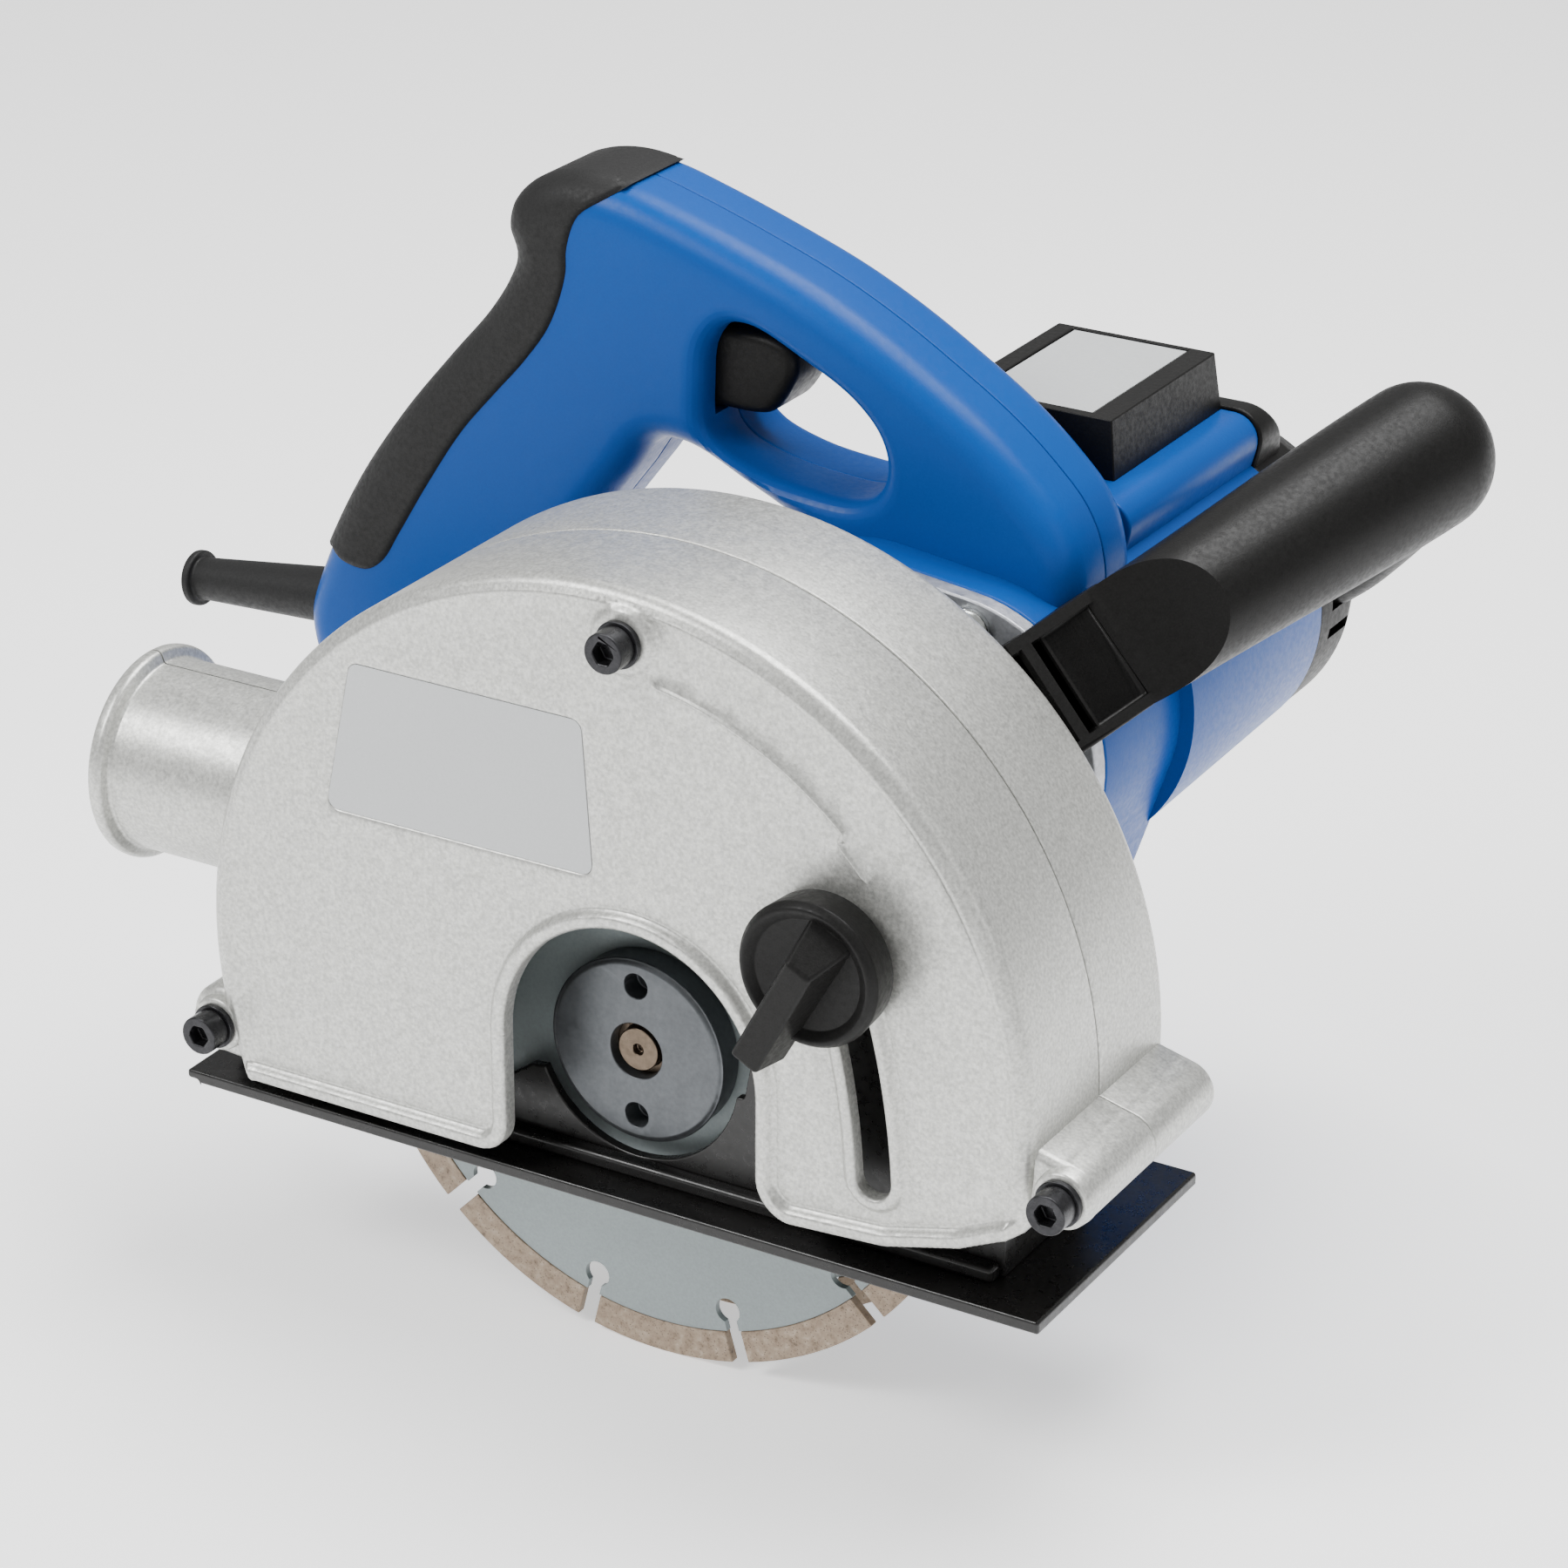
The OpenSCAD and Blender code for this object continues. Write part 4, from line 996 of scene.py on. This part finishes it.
def cap_ridge_back(P):
    """Flat low down, and sloping forward above."""
    end = np.where(P[:, 1] > 90, 172.0 - (P[:, 1] - 90) * 0.62, 172.0)
    return end - round_drop(line_dist(P, CAP_RIDGE), 2.0)


slab("end_cap_ridge", [CAP_RIDGE], cap_ridge_front, cap_ridge_back, r0=0.7, r1=2.0, step=3,
     angle=40, **BLACK)

# ---------------------------------------------------------------- control box

lo, hi = [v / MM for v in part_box("control_box")]
low_z, top_z = lo.z - 1.5, 114.5
hood = add("control_box_skin",
           [(lo.x, lo.y, low_z), (hi.x, lo.y, low_z), (hi.x, hi.y, low_z), (lo.x, hi.y, low_z),
            (lo.x + 1.6, lo.y + 1.2, top_z), (hi.x - 1.8, lo.y + 1.2, top_z),
            (hi.x - 1.8, hi.y - 1.2, top_z), (lo.x + 1.6, hi.y - 1.2, top_z)],
           BOX_FACES, replaces=["control_box"], **BLACK)
cut(hood, block("label_recess", (17.6, 109.9, 113.75), (45.8, 155.6, 116), body=None))
paint(hood, "black_plastic")
bevel(hood, 1.1, 4, clamp=True)

# ---------------------------------------------------------------- front handle

FOOT_AT = np.array([68.7, 77.6])    # where the foot's motor side crosses its middle
FOOT_TURN = math.radians(39.4)      # the foot's direction away from the motor
FOOT_HALF, POCKET_HALF = 13.4, 10.9     # half widths of the foot and of its hollow


def across_foot(name, points, half, **kw):
    """A prism across the foot. Points are (distance from the motor's side, y)."""
    out = np.array([math.cos(FOOT_TURN), math.sin(FOOT_TURN)])
    side = np.array([-math.sin(FOOT_TURN), math.cos(FOOT_TURN)])
    ends = []
    for s in (-half, half):
        xz = [FOOT_AT + out * d + side * s for d, _ in points]
        ends.append([(x, y, z) for (x, z), (_, y) in zip(xz, points)])
    return prism(name, ends, **kw)


g0, g1 = np.array([72.5, 45.0, 81.5]), np.array([105.0, 146.0, 104.0])      # the grip's ends
axis = g1 - g0
length = float(np.linalg.norm(axis))
prof = [(-9, 0.0), (-9, 13.3)]
for t in np.linspace(0.0, 1, 25):
    prof.append((t * length, 13.4 + 2.9 * smooth(np.array([t]), 0.1, 1.0)[0]))
for a in np.radians(np.linspace(6, 90, 15)):
    prof.append((length + 16.0 * math.sin(a) * 0.98, 16.3 * math.cos(a)))
grip = lathe("front_handle_skin", prof, tuple(g0), tuple(axis), replaces=["front_handle"],
             angle=45, **BLACK)
foot = across_foot("front_handle_foot", [(-11.5, 44), (0, 44), (3.6, 52), (9.2, 64), (9.2, 72),
                                         (-11.5, 72)], FOOT_HALF, angle=40, **BLACK)
UNDER_FOOT = [(-40, 10), (60, 10), (60, 44), (-40, 44)]
FOOT_RECESS = [(-20, 40), (20, 40), (20, 46.4), (-20, 46.4)]
POCKET = [(-2.5, 48.8), (20, 48.8), (20, 66), (9.2, 64), (5.0, 57), (2.9, 52.6), (-2.5, 52.6)]
UNDER_GRIP = [(-0.3, 42), (60, 38), (60, 80), (34, 75), (27, 73), (21.5, 71.0), (16.5, 68.6),
              (12.5, 66.0), (10, 63.5)]
for ob in (grip, foot):
    for points, half in ((UNDER_FOOT, 40), (FOOT_RECESS, POCKET_HALF), (POCKET, POCKET_HALF)):
        cut(ob, across_foot("cut", points, half, body=None))
cut(grip, across_foot("cut", UNDER_GRIP, 30, body=None))
for ob in (grip, foot):
    paint(ob, "black_plastic")
    finish_mesh(ob.data, 40)
bevel(foot, 0.7, 3, 40, clamp=True)
bevel(grip, 0.4, 2, 50, clamp=True)
arm = spline([(107.5, 153, 95), (104, 157, 90.5), (96, 163, 82.5), (88, 168, 74.5),
              (80, 171.5, 67), (72, 173, 61)], 2.5, closed=False)
arm_radii = np.interp(np.linspace(0, 1, len(arm)), [0, 0.3, 1], [8.0, 6.6, 8.2])
tube("front_handle_arm", arm, arm_radii, seg=32, angle=60, **BLACK)

# ---------------------------------------------------------------- depth knob

KNOB_BACK, KNOB_FACE = FACE - 2.4, FACE - 12.0
KNOB_BORE = 3.1
KNOB_TURN = math.radians(62)        # the bar's direction at rest
disc = fillet([(KNOB_BACK, KNOB_BORE), (KNOB_BACK, 15.0), (KNOB_FACE + 2, 15.6),
               (KNOB_FACE, 14.2), (KNOB_FACE + 1.6, 11.8), (KNOB_FACE + 1.6, 0.0),
               (KNOB_BACK - 6, 0.0), (KNOB_BACK - 6, KNOB_BORE)],
              [0.4, 0.8, 1.0, 1.0, 0.6, 0, 0, 0], 4)
lathe("depth_knob_disc", disc, on_axis(CLAMP), ALONG_Y, body="depth_knob",
      replaces=["depth_knob"], **BLACK)


def across_knob(outline, y):
    """The corners of a bar's outline, (along, across), at depth y."""
    c = np.array([math.cos(KNOB_TURN), math.sin(KNOB_TURN)])
    n = np.array([-math.sin(KNOB_TURN), math.cos(KNOB_TURN)])
    xz = [CLAMP + c * along + n * across for along, across in outline]
    return [(x, y, z) for x, z in xz]


bar = prism("depth_knob_bar", [
    across_knob([(-21, -4.6), (12.5, -5.6), (12.5, 5.6), (-21, 4.6)], KNOB_FACE + 3),
    across_knob([(-21, -3.2), (5.5, -3.0), (5.5, 3.0), (-21, 3.2)], FACE - 18.6)],
    body="depth_knob", **BLACK)
bevel(bar, 0.8, 3)

# Foot ledge along the near side of the base's upright
ledge = block("base_ledge", (-84, -3.6, -28.2), (86, 0.4, -24.6), body="base", slot="black_coat")
bevel(ledge, 1.1, 4)

# ---------------------------------------------------------------- other CAD pieces, edges rounded

SOFT = {                            # node: (slot, edge width)
    "label_plate": ("label", 0.08), "cover_screws": ("black_screw", 0.35),
    "cover_screw_washers": ("black_screw", 0.25), "pivot_bolt": ("black_screw", 0.35),
    "pivot_spacer": ("bright_steel", 0.3), "pivot_nut": ("black_screw", 0.4),
    "base_plate": ("black_coat", 0.8), "base_bracket": ("black_coat", 0.5),
    "base_rear_ear": ("black_coat", 0.5), "depth_clamp_bolt": ("black_screw", 0.3),
    "depth_clamp_sleeve": ("bright_steel", 0.3), "depth_clamp_washer": ("bright_steel", 0.2),
    "near_blade_core": ("blade_steel", 0.12), "far_blade_core": ("blade_steel", 0.12),
    "near_blade_segments": ("diamond_bond", 0.25), "far_blade_segments": ("diamond_bond", 0.25),
    "blade_spacers": ("dark_steel", 0.2), "inner_flange": ("dark_steel", 0.4),
    "flange_nut": ("dark_steel", 0.35), "spindle": ("spindle_steel", 0.3),
    "gear_case": ("cast_alloy", 0.6), "gear_case_screws": ("zinc", 0.25),
    "front_handle_screw": ("zinc", 0.3), "end_cap_screws": ("black_screw", 0.4),
    "control_box_label": ("label", 0.1), "handle_screws": ("black_screw", 0.3),
    "strain_relief": ("soft_grip", 0.6),
}
for node, (slot_name, width) in SOFT.items():
    soften(node, slot_name, width, 3 if width >= 0.6 else 2)

# The rest keep their CAD meshes
material_slots = {s["node"]: s["material_slot"] for s in frame["record"]["subparts"]}
for node, ob in frame["nodes"].items():
    if not ob.hide_render:
        paint(ob, material_slots[node])

# ---------------------------------------------------------------- floor, light and camera

floor_z = rest_lo.z
half = 3.0                          # metres
me = bpy.data.meshes.new("floor")
me.from_pydata([(-half, -half, floor_z), (half, -half, floor_z), (half, half, floor_z),
                (-half, half, floor_z)], [], [(0, 1, 2, 3)])
floor = place("floor", me)
floor_mat, _, shader = new_mat("floor")
shader.inputs["Base Color"].default_value = (0.93, 0.93, 0.93, 1)
shader.inputs["Roughness"].default_value = 0.7
shader.inputs["Emission Color"].default_value = (1, 1, 1, 1)
shader.inputs["Emission Strength"].default_value = 0.75
me.materials.append(floor_mat)

world = bpy.data.worlds.new("studio")
bpy.context.scene.world = world
world.use_nodes = True
background = world.node_tree.nodes["Background"]
background.inputs["Color"].default_value = (1, 1, 1, 1)
background.inputs["Strength"].default_value = 0.48


LIGHTS_AIM = Vector((0.0, 0.05, 0.04))


def area_light(name, pos, size, power):
    d = bpy.data.lights.new(name, "AREA")
    d.shape = "RECTANGLE"
    d.size, d.size_y = size
    d.energy = power
    o = place(name, d)
    o.location = pos
    o.rotation_euler = (LIGHTS_AIM - Vector(pos)).to_track_quat("-Z", "Y").to_euler()


area_light("key", (-0.55, -0.75, 0.95), (0.5, 0.5), 14)
area_light("top", (0.15, 0.35, 1.15), (0.9, 0.7), 24)
area_light("side", (1.1, -0.25, 0.5), (0.5, 0.8), 1.5)

# The camera's place, direction and field of view, fitted to the photograph
CAMERA_AT = Vector((474.66, -749.41, 466.92)) * MM
AZIMUTH, ELEVATION, ROLL = math.radians(30.385), math.radians(24.605), math.radians(0.244)
cam = bpy.data.cameras.new("camera")
cam.lens = 111.11
cam.sensor_width = 36
cam.clip_end = 20
camera = place("camera", cam)
backward = Vector((math.sin(AZIMUTH) * math.cos(ELEVATION),
                   -math.cos(AZIMUTH) * math.cos(ELEVATION), math.sin(ELEVATION)))
level = Vector((math.cos(AZIMUTH), math.sin(AZIMUTH), 0))
rise = backward.cross(level)
right = level * math.cos(ROLL) + rise * math.sin(ROLL)
up = -level * math.sin(ROLL) + rise * math.cos(ROLL)
M = Matrix((right, up, backward)).transposed().to_4x4()
M.translation = CAMERA_AT
camera.matrix_world = M
bpy.context.scene.camera = camera
